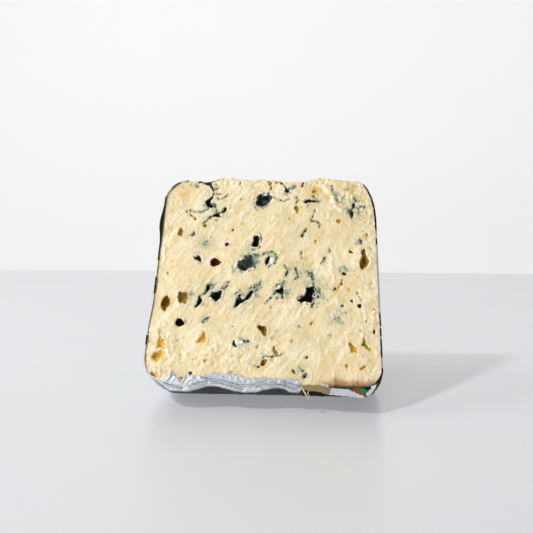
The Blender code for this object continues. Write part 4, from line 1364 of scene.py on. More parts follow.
class CutFace:
    """One cut of the wedge: its height and what shows in it, at many places (right, down).

    hole and bare are distances into the mould holes and the bare holes, negative outside them.
    tone is how light a hole's lining is, and its nearly black end is painted shade.  haze is mould
    in the paste, grey is mould under it, pale is stretched or torn paste and partly painted
    highlight,
    and amber is dried paste: each is 0 for none and about 1 for full.
    """

    def __init__(self, across, down, side):
        self.right, self.down = -across * side, down
        self.thickness = 2 * np.maximum(down, 1.0) * math.sin(HALF_ANGLE)
        self.seed = 100 if side > 0 else 0
        self.height = np.zeros_like(across)
        self.depth = np.zeros_like(across)
        self.hole = np.full_like(across, FAR_OUTSIDE)
        self.bare = np.full_like(across, FAR_OUTSIDE)
        self.tone = np.zeros_like(across)
        self.haze = np.zeros_like(across)
        self.grey = np.zeros_like(across)
        self.pale = np.zeros_like(across)
        self.amber = np.zeros_like(across)

    def ripples(self, size, seed, near=...):
        """Ripples over the cut, with seeds of its own on each of the two cuts."""
        return ripples(self.right[near], self.down[near], size, self.seed + seed)

    def smears(self, angle, seed):
        """Sharp-crested ridges that the cutting knife dragged along one direction."""
        along = self.right * math.cos(angle) - self.down * math.sin(angle)
        beside = self.right * math.sin(angle) + self.down * math.cos(angle)
        (length, sway), (short, waver) = KNIFE_BENDS
        sway = sway * ripples(along, beside, length, seed)
        waver = waver * ripples(along, beside, short, seed + 3)
        beside = beside + sway + waver
        patches = smooth_step(-0.1, 0.5, ripples(along / 2.0, beside, 5.0, seed + 4))
        crests = 0.0
        for number, (spacing, stretch, height) in enumerate(KNIFE_MARKS, 1):
            wave = np.abs(ripples(along / stretch, beside, spacing, seed + number))
            crests = crests + height * np.clip(1 - wave / 0.4, 0, 1) ** 2
        return crests * (0.25 + 0.75 * patches)

    def knife_marks(self):
        """The knife ran up to the right over most of the cut, and upright near its right side."""
        slanted = self.smears(KNIFE_ANGLE, self.seed + 31)
        upright = self.smears(UPRIGHT_KNIFE_ANGLE, self.seed + 41)
        turn = smooth_step(*KNIFE_TURNS_AT, self.right + 4 * self.ripples(12.0, 45))
        marks = slanted * (1 - turn) + upright * turn
        patches = smooth_step(-0.35, 0.35, self.ripples(KNIFE_PATCH_SIZE, 46))
        strength = KNIFE_LEAST + (1 - KNIFE_LEAST) * patches
        strength *= smooth_step(*KNIFE_STARTS_AT, self.right)
        self.height += strength * marks
        # Raised smears are painted paler: partly stretched paste, partly painted highlight
        self.pale += KNIFE_WHITENING_AND_HIGHLIGHT * strength * marks

    def swell(self):
        """The uneven paste: a broad swell, low waves on it, and patches of rougher, paler grain."""
        size, height = SWELL
        self.height += height * self.ripples(size, 51)
        size, height = WAVES
        self.height += height * layered(self.right, self.down, size, self.seed + 52)
        patch = smooth_step(0.0, 0.5, self.ripples(9.0, 58))
        rough = layered(self.right, self.down, GRAIN_SIZE, self.seed + 57, 2)
        self.height += (0.03 + 0.08 * patch) * np.abs(rough)
        self.pale += (0.2 + 0.3 * patch) * np.clip(np.abs(rough) - 0.25, 0, 1)

    def crumble(self):
        """Lumps where the paste broke instead of being cut, most of all low on the left."""
        patch = smooth_step(-0.35, 0.25, self.ripples(7.0, 53))
        low = smooth_step(75, 80, self.down) * (0.25 + 0.75 * patch)
        low *= 0.2 + 0.8 * smooth_step(14, -4, self.right)
        low *= 1 - 0.6 * smooth_step(86, 90, self.down)
        left = smooth_step(66, 76, self.down) * smooth_step(-35, -40, self.right)
        left *= 0.5 + 0.5 * patch
        side = smooth_step(36, 44, self.right) * (0.2 + 0.6 * patch)
        top = smooth_step(7.0, 1.0, self.down) * (0.4 + 0.6 * patch)
        corner = smooth_step(17, 8, self.down) * smooth_step(24, 34, self.right)
        corner *= 0.5 + 0.5 * patch
        amount = np.maximum.reduce([low, left, side, top, corner])
        size, coarse_height = COARSE_CRUMBS
        coarse = lumps(self.right, self.down, size, self.seed + 54)
        size, fine_height = FINE_CRUMBS
        fine = lumps(self.right, self.down, size, self.seed + 55)
        self.height += amount * (coarse_height * coarse + fine_height * fine - CRUMBS_SUNK)
        gaps = smooth_step(0.95, 0.5, coarse + 0.45 * fine)
        self.amber = np.maximum(self.amber, 1.1 * amount * gaps)
        # The tops of the lumps are painted paler, partly as painted highlight
        self.pale += 0.7 * amount * smooth_step(0.45, 0.9, coarse * (0.5 + 0.5 * fine))

    def nearest_hole(self, near):
        """The distance into the nearest hole so far, and 0 inside one."""
        return np.minimum(np.maximum(self.hole[near], self.bare[near]), 0)

    def hole_at(self, bare, tone, outline):
        """A torn-edged hole with these corners: mouldy, or bare and resinous brown.

        tone is how light its lining is, and the lining is painted lighter low on the right and
        darker up on the left, as painted light and shade.  The paste round the hole stands up a
        little, is pale where it tore, partly as a painted highlight, and takes some of the lining's
        colour.
        """
        points = np.asarray(outline)
        middle, reach = points.mean(0), 0.5 * np.ptp(points, 0).max()
        near = np.hypot(self.right - middle[0], self.down - middle[1]) < 1.5 * reach + 3.0
        frayed = LIGHT_FRAYING if bare and tone > 0.65 else FRAYING
        x = self.right[near] + frayed * self.ripples(FRAY_SIZE, 1, near)
        y = self.down[near] + frayed * self.ripples(FRAY_SIZE, 2, near)
        inside = distance_into(x, y, outline) + 0.2
        width = 2 * max(inside.max(initial=0.0), 0.3)
        fullness = min(1, width / FULL_LIP_AT)

        shallow = 1 - 0.6 * tone if bare else 1.0
        deepest = (HOLE_DEPTH_BY_WIDTH * width + HOLE_DEPTH) * shallow
        deepest = np.minimum(deepest, HOLE_DEPTH_LIMIT * self.thickness[near])
        size, strength = FLOOR_LUMPS
        floor = 1 + strength * self.ripples(size, 3, near)
        depth = deepest * floor * smooth_step(-0.1, 0.34 * width + 0.25, inside)
        self.depth[near] = np.maximum(self.depth[near], depth)

        lip = np.exp(-(((inside + LIP_OUTSIDE) / LIP_WIDTH) ** 2)) * fullness
        torn = smooth_step(-0.3, 0.5, self.ripples(2.4, 4, near))
        self.height[near] += LIP_HEIGHT * lip
        # The lip is painted paler, partly as a painted highlight on its raised edge
        least, more = LIP_PALENESS_AND_HIGHLIGHT[bare]
        self.pale[near] = np.maximum(self.pale[near], (least + more * torn) * lip)

        distances = self.bare if bare else self.hole
        wins = inside > self.nearest_hole(near)
        # Painted light and shade: the lining is lighter towards the lower right, darker towards the
        # upper left
        painted_light = (x - middle[0] + y - middle[1]) / (2 * reach)
        size, strength = LINING_STREAKS[bare]
        streaks = strength * self.ripples(size, 5, near)
        # The darkest linings stay black all over, with no painted light on them
        shade = tone + (LINING_PAINTED_LIGHT[bare] * painted_light + streaks) * (tone > 0.02)
        self.tone[near] = np.where(wins, np.clip(shade, 0, 1), self.tone[near])
        distances[near] = np.maximum(distances[near], inside)

        uneven = smooth_step(-0.35, 0.5, self.ripples(2.0, 6, near))
        halo = smooth_step(-1.8, -0.3, inside) * fullness * uneven
        around = self.amber if bare else self.haze
        around[near] = np.maximum(around[near], HALO[bare] * halo)

    def vein(self, kind, width, line):
        """A thin crack painted black inside as its shade, a smear of mould, or a broken rusty line.
        """
        rights, downs = zip(*line)
        near = (self.right > min(rights) - 3) & (self.right < max(rights) + 3)
        near &= (self.down > min(downs) - 3) & (self.down < max(downs) + 3)
        wobble = 0.45 * self.ripples(1.7, 61, near)
        away = distance_to_line(self.right[near] + wobble, self.down[near] - wobble, line)
        inside = width * (0.5 + 0.35 * self.ripples(1.5, 62, near)) - away
        if kind == MOULD:
            broken = 0.8 + 0.5 * self.ripples(1.2, 63, near)
            self.haze[near] = np.maximum(self.haze[near], broken * smooth_step(-0.8, 0.3, inside))
            self.height[near] -= SMEAR_DEPTH * smooth_step(-0.3, 0.3, inside)
            return
        if kind == RUST:
            inside = inside + 0.45 * self.ripples(1.3, 64, near) - 0.1
            halo = RUST_HALO * smooth_step(-1.2, 0.1, inside)
            self.amber[near] = np.maximum(self.amber[near], halo)
        # A crack's lining is painted black, as painted shade; a rusty line's is brown
        distances = self.bare if kind == RUST else self.hole
        wins = inside > self.nearest_hole(near)
        self.tone[near] = np.where(wins, RUST_TONE if kind == RUST else 0.0, self.tone[near])
        distances[near] = np.maximum(distances[near], inside)
        deepest = np.minimum(CRACK_DEPTH, CRACK_DEPTH_LIMIT * self.thickness[near])
        depth = deepest * smooth_step(-0.15, 0.3, inside)
        self.depth[near] = np.maximum(self.depth[near], depth)

    def smudge(self, right, down, size, strength):
        """Blue mould that shows through the paste in flecks."""
        near = np.hypot(self.right - right, self.down - down) < 2.2 * size
        away = np.hypot(self.right[near] - right, self.down[near] - down) / size
        flecks = layered(self.right[near], self.down[near], FLECK_SIZE, self.seed + 71, 3)
        amount = strength * np.clip(1.3 * (1.1 - away) + 1.1 * flecks, 0, 1)
        self.haze[near] = np.maximum(self.haze[near], amount)

    def cast(self, name, right, down, size, strength):
        """A soft change of the paste's colour over a few millimetres."""
        away = np.hypot(self.right - right, self.down - down) / size
        uneven = 1 + 0.6 * layered(self.right, self.down, 3.5, self.seed + 73, 2)
        values = getattr(self, name)
        np.maximum(values, strength * np.exp(-1.3 * away * away) * uneven, out=values)

    def ridge(self, width, height, whiteness, line):
        """A smear of paste that stands up, pale where it was stretched and white where it tore; its
        crest's paleness is partly a painted highlight.
        """
        wobble = 0.7 * self.ripples(3.6, 81) + 0.3 * self.ripples(1.5, 84)
        away = distance_to_line(self.right + wobble, self.down, line)
        crest = np.clip(1 - away / (width * (1 + 0.5 * self.ripples(2.6, 82))), 0, 1) ** 1.3
        crest = crest * smooth_step(-0.55, 0.2, self.ripples(3.4, 83))
        self.height += height * crest
        self.pale = np.maximum(self.pale, whiteness * np.minimum(1.4 * crest, 1))

    def specks(self, count, seed):
        """Tiny blue or rusty flecks all over the cut."""
        draw = random.Random(seed)
        for _ in range(count):
            right, down = draw.uniform(*SPECKS_RIGHT), draw.uniform(*SPECKS_DOWN)
            size, blue = draw.uniform(*SPECK_SIZE), draw.random() < 0.6
            core = smooth_step(size, 0.2 * size, np.hypot(self.right - right, self.down - down))
            target = self.haze if blue else self.amber
            np.maximum(target, draw.uniform(0.5, 1.0) * core, out=target)
            self.height -= 0.2 * core

    def finished_height(self):
        """The height with the holes taken out, which never pierce the thin top of the wedge."""
        return np.maximum(self.height - self.depth, -0.35 * self.thickness)


def dressed_face(across, down, side):
    """All that the front or the back cut shows."""
    face = CutFace(across, down, side)
    face.swell()
    face.knife_marks()
    face.crumble()
    if side < 0:
        front_details(face)
    else:
        back_details(face)
    face.specks(SPECKS, 5 + side)
    return face


# ---------------------------------------------------------------- meshes


def block_lattice(counts):
    """Grid places on the outside of a block of cells, and its faces as rows of four numbers."""
    quads = []
    for axis in range(3):
        first, second = (axis + 1) % 3, (axis + 2) % 3
        a, b = np.meshgrid(np.arange(counts[first]), np.arange(counts[second]), indexing="ij")
        for end in (0, counts[axis]):
            corners = []
            for step_a, step_b in ((0, 0), (1, 0), (1, 1), (0, 1)):
                place = np.zeros(a.shape + (3,), np.int64)
                place[..., axis] = end
                place[..., first] = a + step_a
                place[..., second] = b + step_b
                corners.append(place.reshape(-1, 3))
            quad = np.stack(corners, 1)
            quads.append(quad if end else quad[:, ::-1])
    quads = np.concatenate(quads)
    places, numbers = np.unique(quads.reshape(-1, 3), axis=0, return_inverse=True)
    return places, numbers.reshape(-1, 4)


def new_piece(name, points, quads, materials, values=None, fields=None, smooth=True):
    """A mesh piece from points in millimetres and four-sided faces.

    It may have named values at its points, and the number of a material for each face.
    """
    mesh = bpy.data.meshes.new(name)
    mesh.vertices.add(len(points))
    mesh.vertices.foreach_set("co", (np.asarray(points, float) * MM).ravel())
    mesh.loops.add(len(quads) * 4)
    mesh.loops.foreach_set("vertex_index", np.asarray(quads).ravel())
    mesh.polygons.add(len(quads))
    mesh.polygons.foreach_set("loop_start", np.arange(len(quads)) * 4)
    if fields is not None:
        mesh.polygons.foreach_set("material_index", np.asarray(fields, np.int32))
    mesh.update(calc_edges=True)
    mesh.polygons.foreach_set("use_smooth", np.full(len(quads), smooth))
    for key, numbers in (values or {}).items():
        layer = mesh.attributes.new(key, "FLOAT", "POINT")
        layer.data.foreach_set("value", np.asarray(numbers, np.float32))
    for material in materials:
        mesh.materials.append(material)
    piece = bpy.data.objects.new(name, mesh)
    bpy.context.scene.collection.objects.link(piece)
    return piece


def new_sheet(name, inner, outer, materials, fields=None, edge=0, values=None):
    """A thin closed sheet between two grids of points (columns, rows, 3).

    fields gives the number of a material for each cell of the grid, and edge for the cut edges.
    """
    columns, rows = inner.shape[:2]
    number = np.arange(columns * rows).reshape(columns, rows)
    cell = [number[:-1, :-1], number[1:, :-1], number[1:, 1:], number[:-1, 1:]]
    face = np.stack(cell, -1).reshape(-1, 4)
    around = np.concatenate([number[:, 0], number[-1, 1:], number[-2::-1, -1], number[0, -2:0:-1]])
    after = np.roll(around, -1)
    above = columns * rows
    side = np.stack([after, around, around + above, after + above], -1)
    quads = np.concatenate([face[:, ::-1], face + above, side[:, ::-1]])
    if fields is not None:
        fields = np.concatenate([fields.ravel(), fields.ravel(), np.full(len(side), edge)])
    points = np.concatenate([inner.reshape(-1, 3), outer.reshape(-1, 3)])
    return new_piece(name, points, quads, materials, values, fields)


def eased_layers(count):
    """Steps from 0 to 1 that are finer near both ends."""
    x = np.arange(count + 1) / count
    return x - 0.85 * np.sin(2 * np.pi * x) / (2 * np.pi)


def make_cheese(material):
    """The whole wedge as one closed skin, finest on its two cuts."""
    columns, rows, layers = CHEESE_CELLS
    places, quads = block_lattice(CHEESE_CELLS)
    s = 2 * places[:, 0] / columns - 1
    t = 2 * places[:, 1] / rows - 1
    across, down = section_point(s, t)
    turn = HALF_ANGLE * (2 * eased_layers(layers)[places[:, 2]] - 1)
    points = turned(across, down, turn, SOLID_FOIL + CLEARANCE)
    names = ("hole", "bare", "tone", "haze", "grey", "pale", "amber")
    values = {name: np.zeros(len(points)) for name in names}
    for name in ("hole", "bare"):
        values[name] += FAR_OUTSIDE
    for side, layer in ((-1, 0), (1, layers)):
        on_face = places[:, 2] == layer
        face = dressed_face(across[on_face], down[on_face], side)
        points[on_face] += face.finished_height()[:, None] * face_normal(side)
        for name in names:
            values[name][on_face] = getattr(face, name)
    values["rind"] = rind_amount(across, down, turn)
    return new_piece("cheese_paste", points, quads, [material], values)


def rind_amount(across, down, turn):
    """How brown the paste is: all of the wheel's skin, and both cuts along the rim on one side,
    darkest at the rim's edge, where it is partly painted shade.
    """
    side = HALF_WIDTH_AT_AXIS + (HALF_WIDTH_AT_RIM - HALF_WIDTH_AT_AXIS) * down / WHEEL_RADIUS
    from_rim = WHEEL_RADIUS - down
    from_outside = np.minimum(from_rim, side - np.abs(across))
    skin = smooth_step(0.0, 0.02, HALF_ANGLE - np.abs(turn)) * smooth_step(2.0, 0.0, from_outside)
    # Darkest right at the rim's edge: rind, and partly painted shade of the gap under the wrap
    edge = smooth_step(1.5, 0.2, from_rim + 0.5 * ripples(across, down, 3.0, 92))
    edge = edge * smooth_step(14, 17, across)
    low = smooth_step(6.0, 0.8, from_rim + 1.2 * ripples(across, down, 5.0, 91))
    low = low * smooth_step(18, 29, across)
    return np.maximum(skin, 0.7 * edge + 0.75 * low)


# ---------------------------------------------------------------- foil and labels


def creases(x, y, size, seed):
    """Sharp creases between flat facets, as in crumpled foil: 1 on a crease, 0 amid a facet."""
    bend = 0.45 * size * ripples(x, y, 2.2 * size, seed + 1)
    total = np.zeros(np.broadcast(x, y).shape)
    for number, weight in enumerate(CREASE_WEIGHTS):
        wave = np.abs(ripples(x + bend, y - bend, size / 2.1**number, seed + 3 * number))
        total += weight * (1 - np.minimum(wave / 0.7, 1))
    return total / sum(CREASE_WEIGHTS)


def outward_path(s, t):
    """A path round the section: each place (across, down) and the outward direction there."""
    x, y = section_point(s, t)
    run_x, run_y = np.gradient(x), np.gradient(y)
    length = np.hypot(run_x, run_y)
    return x, y, -run_y / length, run_x / length


def wrap_path(top, counts):
    """The wrap's path down the left side, along the rim and up the right side of the section."""
    left, along, right = counts
    start, end = np.linspace(top, 1, left, endpoint=False), np.linspace(1, top, right + 1)[1:]
    s = np.concatenate([np.full(left, -1.0), np.linspace(-1, 1, along + 1), np.full(right, 1.0)])
    t = np.concatenate([start, np.full(along + 1, 1.0), end])
    return outward_path(s, t)


def label_path(side, reach):
    """A side label's path: from the top edge, round its corner, and down the flat side."""
    over_top, down_side = reach
    top = np.linspace(1 - over_top, 1, LABEL_TOP_STEPS, endpoint=False)
    flat = np.linspace(-1, down_side, LABEL_STEPS)
    s = side * np.concatenate([top, np.ones(LABEL_STEPS)])
    t = np.concatenate([-np.ones(LABEL_TOP_STEPS), flat])
    return outward_path(s[::-side], t[::-side])


def on_rim(out_down):
    """1 where the wrap lies on the rim, 0 where it lies on a flat side."""
    return smooth_step(0.55, 0.95, out_down)


def stand_off(path, turn):
    """The foil's height over the cheese: creases, slack near the cuts and the bulge on the left."""
    across, down, _, out_down = (part[:, None] for part in path)
    near_cut = smooth_step(HALF_ANGLE - FOLD_REACH, HALF_ANGLE, np.abs(turn))
    rim = on_rim(out_down)
    slack = np.interp(across, *zip(*FOIL_HANG)) * rim * near_cut
    place = np.abs(down - LEFT_BULGE_DOWN) / LEFT_BULGE_REACH
    bulge = LEFT_BULGE_HEIGHT * (1 - smooth_step(0, 1, place)) * near_cut
    bulge = bulge * (across < 0) * (turn < 0)
    around = turn * WHEEL_RADIUS
    crumpled = creases(across + down, around, FACET_SIZE, 5)
    streaks = creases(across / 2.5 + down, around + 0.6 * slack, STREAK_SIZE, 15) - 0.4
    crumpled = (FACET_HEIGHT + HIGHER_ON_RIM * rim) * crumpled * (1 - PRESSED_AT_CUTS * near_cut)
    height = CLEARANCE * (0.2 + 0.6 * rim) + crumpled + slack + bulge
    return np.maximum(height + STREAK_HEIGHT * streaks * rim, LEAST_STAND_OFF)


def edge_frame(path, side):
    """At the wrap's path on a cut: the cheese's edge, and outward in the cut and off the cut."""
    across, down, out_across, out_down = path
    edge = turned(across, down, side * HALF_ANGLE, 0.0)
    fall = [out_across, side * math.sin(HALF_ANGLE) * out_down, -math.cos(HALF_ANGLE) * out_down]
    return edge[:, None], np.stack(fall, -1)[:, None], face_normal(side)


def rows_at(path, side, rows):
    """Points of a sheet in front of a cut, from rows of how far down it and off it they are."""
    edge, fall, off = edge_frame(path, side)
    shape = path[0].shape
    fall_by = np.stack([np.broadcast_to(row[0], shape) for row in rows], 1)[..., None]
    off_by = np.stack([np.broadcast_to(row[1], shape) for row in rows], 1)[..., None]
    return edge + fall * fall_by + off * off_by


def lip_reach(path, side):
    """How far the torn foil reaches up a cut."""
    across, _, _, out_down = path
    if side < 0:
        reach = np.interp(across, *zip(*TORN_EDGE))
        reach = reach + 0.55 * ripples(across, 0 * across, 1.7, 8) * np.minimum(reach, 1)
    else:
        reach = BACK_LIP_REACH + 1.5 * ripples(across, 0 * across, 6.0, 9)
        reach = reach + 0.7 * ripples(across, 0 * across, 1.8, 10)
    return np.maximum(reach, LEAST_REACH) * on_rim(out_down)


def lip_relief(across, rise):
    """The crumpled lip's height: small facets, hairlines, and long creases alongside the folds."""
    size, height = LIP_FACETS
    relief = height * (creases(across, 1.4 * rise + 30, size, 21) - 0.5)
    hang = np.interp(across, *zip(*FOIL_HANG))
    size, height = LIP_HAIRLINES
    relief = relief + height * ripples(across / 5, rise + 0.8 * hang, size, 27)
    for height, line in FOIL_CREASES:
        away = distance_to_line(across, rise, line)
        relief = relief + 0.8 * height * np.clip(1 - away / CREASE_WIDTH, 0, 1)
    return relief


def torn_away(across, side):
    """1 along the front edge where the foil is torn off, under the flap."""
    return smooth_step(*TORN_OFF_ACROSS, across) * (side < 0)


def foil_lip(path, side, base, height):
    """Rows of the torn lip that folds over a cut, from the rim's edge up the face."""
    across, _, _, out_down = path
    rim = on_rim(out_down)
    reach = lip_reach(path, side)
    gap = SIDE_GAP + (LIP_GAP - SIDE_GAP) * rim * (1 - torn_away(across, side)) + height
    hem = np.minimum(HEM_RADIUS, 0.6 * base)
    rows = []
    for part in np.linspace(0, 1, HEM_ROWS + 1)[1:]:
        bow = part * math.pi / 2
        rows.append((base + height - hem * (1 - math.cos(bow)), gap * math.sin(bow)))
    for part in np.linspace(0, 1, LIP_ROWS + 1)[1:]:
        fall_by = (base + height - hem) * (1 - part) - reach * part
        relief = lip_relief(across, -fall_by) * min(1, 5 * part)
        rows.append((fall_by, gap + rim * np.maximum(relief, -LIP_HOLLOW)))
    return rows_at(path, side, rows)


def foil_grid(path, height, floor):
    """A foil surface from the lip on the back cut, round the wedge, to the lip on the front."""
    turns = HALF_ANGLE * (1 - 2 * eased_layers(FOIL_ROWS))[None, :]
    off = stand_off(path, turns) + height
    across, down, out_across, out_down = (part[:, None] for part in path)
    body = turned(across + out_across * off, down + out_down * off, turns, floor)
    back = foil_lip(path, 1, stand_off(path, turns[:, :1])[:, 0], height)
    front = foil_lip(path, -1, stand_off(path, turns[:, -1:])[:, 0], height)
    return np.concatenate([back[:, ::-1], body, front], 1)


def foil_painted_shade(path):
    """1 where shade is painted dark on the foil: under the rim, and along its torn-off front edge.
    """
    across, _, _, out_down = (part[:, None] for part in path)
    lip_rows = HEM_ROWS + LIP_ROWS
    under = on_rim(out_down) * np.ones((1, FOIL_ROWS + 1))
    back = np.zeros((len(across), lip_rows))
    spikes = smooth_step(0.5, 0.9, lip_reach(path, -1))[:, None]
    # Shade is painted along the torn-off front edge too, where the gap behind the flap is dark
    front = torn_away(across, -1) * np.ones((1, lip_rows)) * (1 - spikes)
    painted_shade = np.concatenate([back, under, front], 1)
    return (painted_shade * smooth_step(*PAINTED_SHADE_FROM, across)).ravel()


def make_foil(material):
    """The crumpled foil as one thin closed sheet."""
    path = wrap_path(FOIL_TOP, FOIL_COLUMNS)
    inner = foil_grid(path, 0.0, FOIL_THICKNESS)
    outer = foil_grid(path, FOIL_THICKNESS, 0.0)
    # How much shade is painted on the foil at each point
    painted_shade = foil_painted_shade(path)
    values = {"painted_shade": np.concatenate([painted_shade, painted_shade])}
    return new_sheet("foil", inner, outer, [material], values=values)


def margin_rows(path, side, start, height, width):
    """Rows of a label's torn margin, which folds over a cut's edge and lies on the cheese."""
    off = SIDE_GAP + FOIL_THICKNESS + LABEL_GAP + height
    rows = []
    for part in (1 / 3, 2 / 3, 1):
        bow = part * math.pi / 2
        rows.append((start * math.cos(bow) ** 0.6, off * math.sin(bow) ** 0.7))
    for part in (1 / 3, 2 / 3, 1):
        rows.append((-width * part, off + 0.15 * part * part))
    return rows_at(path, side, rows)


def side_label(name, side, reach, margin, dark, materials):
    """A printed sheet on one flat side, whose torn margins fold over the two cuts."""
    path = label_path(side, reach)
    across, down, out_across, out_down = (part[:, None] for part in path)
    uneven = 1 + 0.6 * ripples(path[1], 0 * path[1], 2.3, 61 + side)
    front = np.interp(path[1], *zip(*margin)) * uneven
    back = ripples(path[1], 0 * path[1], BACK_MARGIN_SIZE, 63 + side)
    back = BACK_MARGIN + BACK_MARGIN_UNEVEN * back
    turns = np.linspace(HALF_ANGLE, -HALF_ANGLE, LABEL_ROWS)[None, :]
    off = stand_off(path, turns) + FOIL_THICKNESS + LABEL_GAP
    sheets = []
    for height in (0.0, LABEL_THICKNESS):
        place = across + out_across * (off + height), down + out_down * (off + height)
        body = turned(*place, turns, LABEL_FLOOR)
        behind = margin_rows(path, 1, off[:, 0] + height, height, back)
        before = margin_rows(path, -1, off[:, -1] + height, height, front)
        sheets.append(np.concatenate([behind[:, ::-1], body, before], 1))
    rings = np.searchsorted(RING_EDGES, 0.5 * (path[1][:-1] + path[1][1:]))
    fields = np.repeat(np.asarray(RING_FIELDS)[rings][:, None], sheets[0].shape[1] - 1, 1)
    for width, columns in ((front, slice(-EDGE_ROWS, None)), (back, slice(0, EDGE_ROWS))):
        shown = np.where(0.5 * (width[:-1] + width[1:]) > DARK_MARGIN, dark, WHITE)
        fields[:, columns] = shown[:, None]
    return new_sheet(name, *sheets, materials, fields)


def make_flap(materials):
    """The right label's torn end: it passes under the rim and folds down in front of the cut."""
    across, down, out_across, out_down = wrap_path(FOIL_TOP, FLAP_PATH_STEPS)
    chosen = (across > FLAP_STARTS_AT) & (across < FLAP_ENDS_AT) & (out_down > 0.6)
    path = tuple(part[chosen] for part in (across, down, out_across, out_down))
    across = path[0]
    turns = np.radians(np.linspace(*FLAP_TURNS, FLAP_ROWS_UNDER))[None, :]
    stands_off = stand_off(path, turns) + FOIL_THICKNESS + LABEL_GAP
    size, height = FLAP_CREST_UNEVEN
    crest = np.interp(across, *zip(*FLAP_CREST)) + height * ripples(across, 0 * across, size, 73)
    size, height = FLAP_END_UNEVEN
    end = np.interp(across, *zip(*FLAP_END)) + height * ripples(across, 0 * across, size, 71)
    drop = end - crest
    bend = np.maximum(crest, 0.45)
    hang = np.linspace(0, 1, FLAP_ROWS)
    size, height = FLAP_BUCKLES
    sheets = []
    for lift in (LABEL_THICKNESS, 0.0):
        columns = [part[:, None] for part in path]
        reach = stands_off + lift
        place = columns[0] + columns[2] * reach, columns[1] + columns[3] * reach
        under = turned(*place, turns, LABEL_FLOOR)
        rows = [(bend + 0.2 - lift, 0.55 - lift)]
        for part in hang:
            buckle = height * ripples(across, 2 * part + 0 * across, size, 72) * part
            off = FLAP_GAP + FLAP_SPREAD * drop * part**0.8 + buckle - lift
            rows.append((crest + drop * part + 0.3 * lift, off))
        sheets.append(np.concatenate([under, rows_at(path, -1, rows)], 1))
    return new_sheet("label_flap", *sheets, materials, flap_fields(across, crest, drop, hang))


def flap_fields(across, crest, drop, hang):
    """Each cell's plain colour: black under the rim, which is painted shade, and fields with ragged
    borders in front.
    """
    fields = np.full((len(across) - 1, FLAP_ROWS_UNDER + len(hang)), WHITE)
    # The part under the rim is black: painted shade
    fields[:, : -len(hang)] = BLACK
    middle = 0.5 * (across[:-1] + across[1:])[:, None]
    part = 0.5 * (hang[:-1] + hang[1:])[None, :]
    fall = crest[:-1, None] + drop[:-1, None] * part
    size, strength = FLAP_BORDERS
    ragged_across = middle + strength * ripples(middle, fall, size, 74)
    ragged_fall = fall + strength * ripples(middle, fall, size, 75)
    for color, outline in FLAP_FIELDS:
        inside = distance_into(ragged_across, ragged_fall, outline) > 0
        fields[:, -len(hang) + 1 :][inside] = color
    return fields


def make_shred(name, width, line, materials):
    """A narrow shred of torn paper that hangs in front of the foil, ridged along its middle."""
    steps = np.linspace(0, len(line) - 1, SHRED_STEPS)
    numbers = np.arange(len(line))
    across = np.interp(steps, numbers, [place[0] for place in line])
    fall = np.interp(steps, numbers, [place[1] for place in line])
    run_across, run_fall = np.gradient(across), np.gradient(fall)
    length = np.hypot(run_across, run_fall)
    uneven = 1 + 0.35 * ripples(steps, 0 * steps, 0.8, 76)
    half = 0.5 * width * uneven * np.linspace(1, 0.55, SHRED_STEPS)
    rim = np.full_like(across, WHEEL_RADIUS), 0 * across, 0 * across + 1
    sheets = []
    for lift in (0.0, LABEL_THICKNESS):
        rows = []
        for edge in (-1, 0, 1):
            aside = across + edge * half * run_fall / length
            below = fall - edge * half * run_across / length
            off = SHRED_GAP + SHRED_SPREAD * fall + SHRED_RIDGE * (edge == 0) + lift
            rows.append(rows_at((aside, *rim), -1, [(below, off)])[:, 0])
        sheets.append(np.stack(rows, 1))
    fields = np.full((SHRED_STEPS - 1, 2), CREAM)
    return new_sheet(name, *sheets, materials, fields, edge=CREAM)


# ---------------------------------------------------------------- materials


def srgb(code):
    """A linear colour from an sRGB hex code."""
    parts = [int(code[i : i + 2], 16) / 255 for i in (0, 2, 4)]
    linear = [p / 12.92 if p <= 0.04045 else ((p + 0.055) / 1.055) ** 2.4 for p in parts]
    return (*linear, 1.0)


def add(tree, kind, inputs=None, **settings):
    """A shader node with its settings, whose inputs are given values or other nodes' outputs."""
    node = tree.nodes.new(kind)
    for key, value in settings.items():
        setattr(node, key, value)
    for key, value in (inputs or {}).items():
        if isinstance(value, bpy.types.NodeSocket):
            tree.links.new(value, node.inputs[key])
        else:
            node.inputs[key].default_value = value
    return node


def new_material(name):
    """A new material and its empty node tree."""
    material = bpy.data.materials.new(name)
    material.use_nodes = True
    tree = material.node_tree
    tree.nodes.clear()
    return material, tree


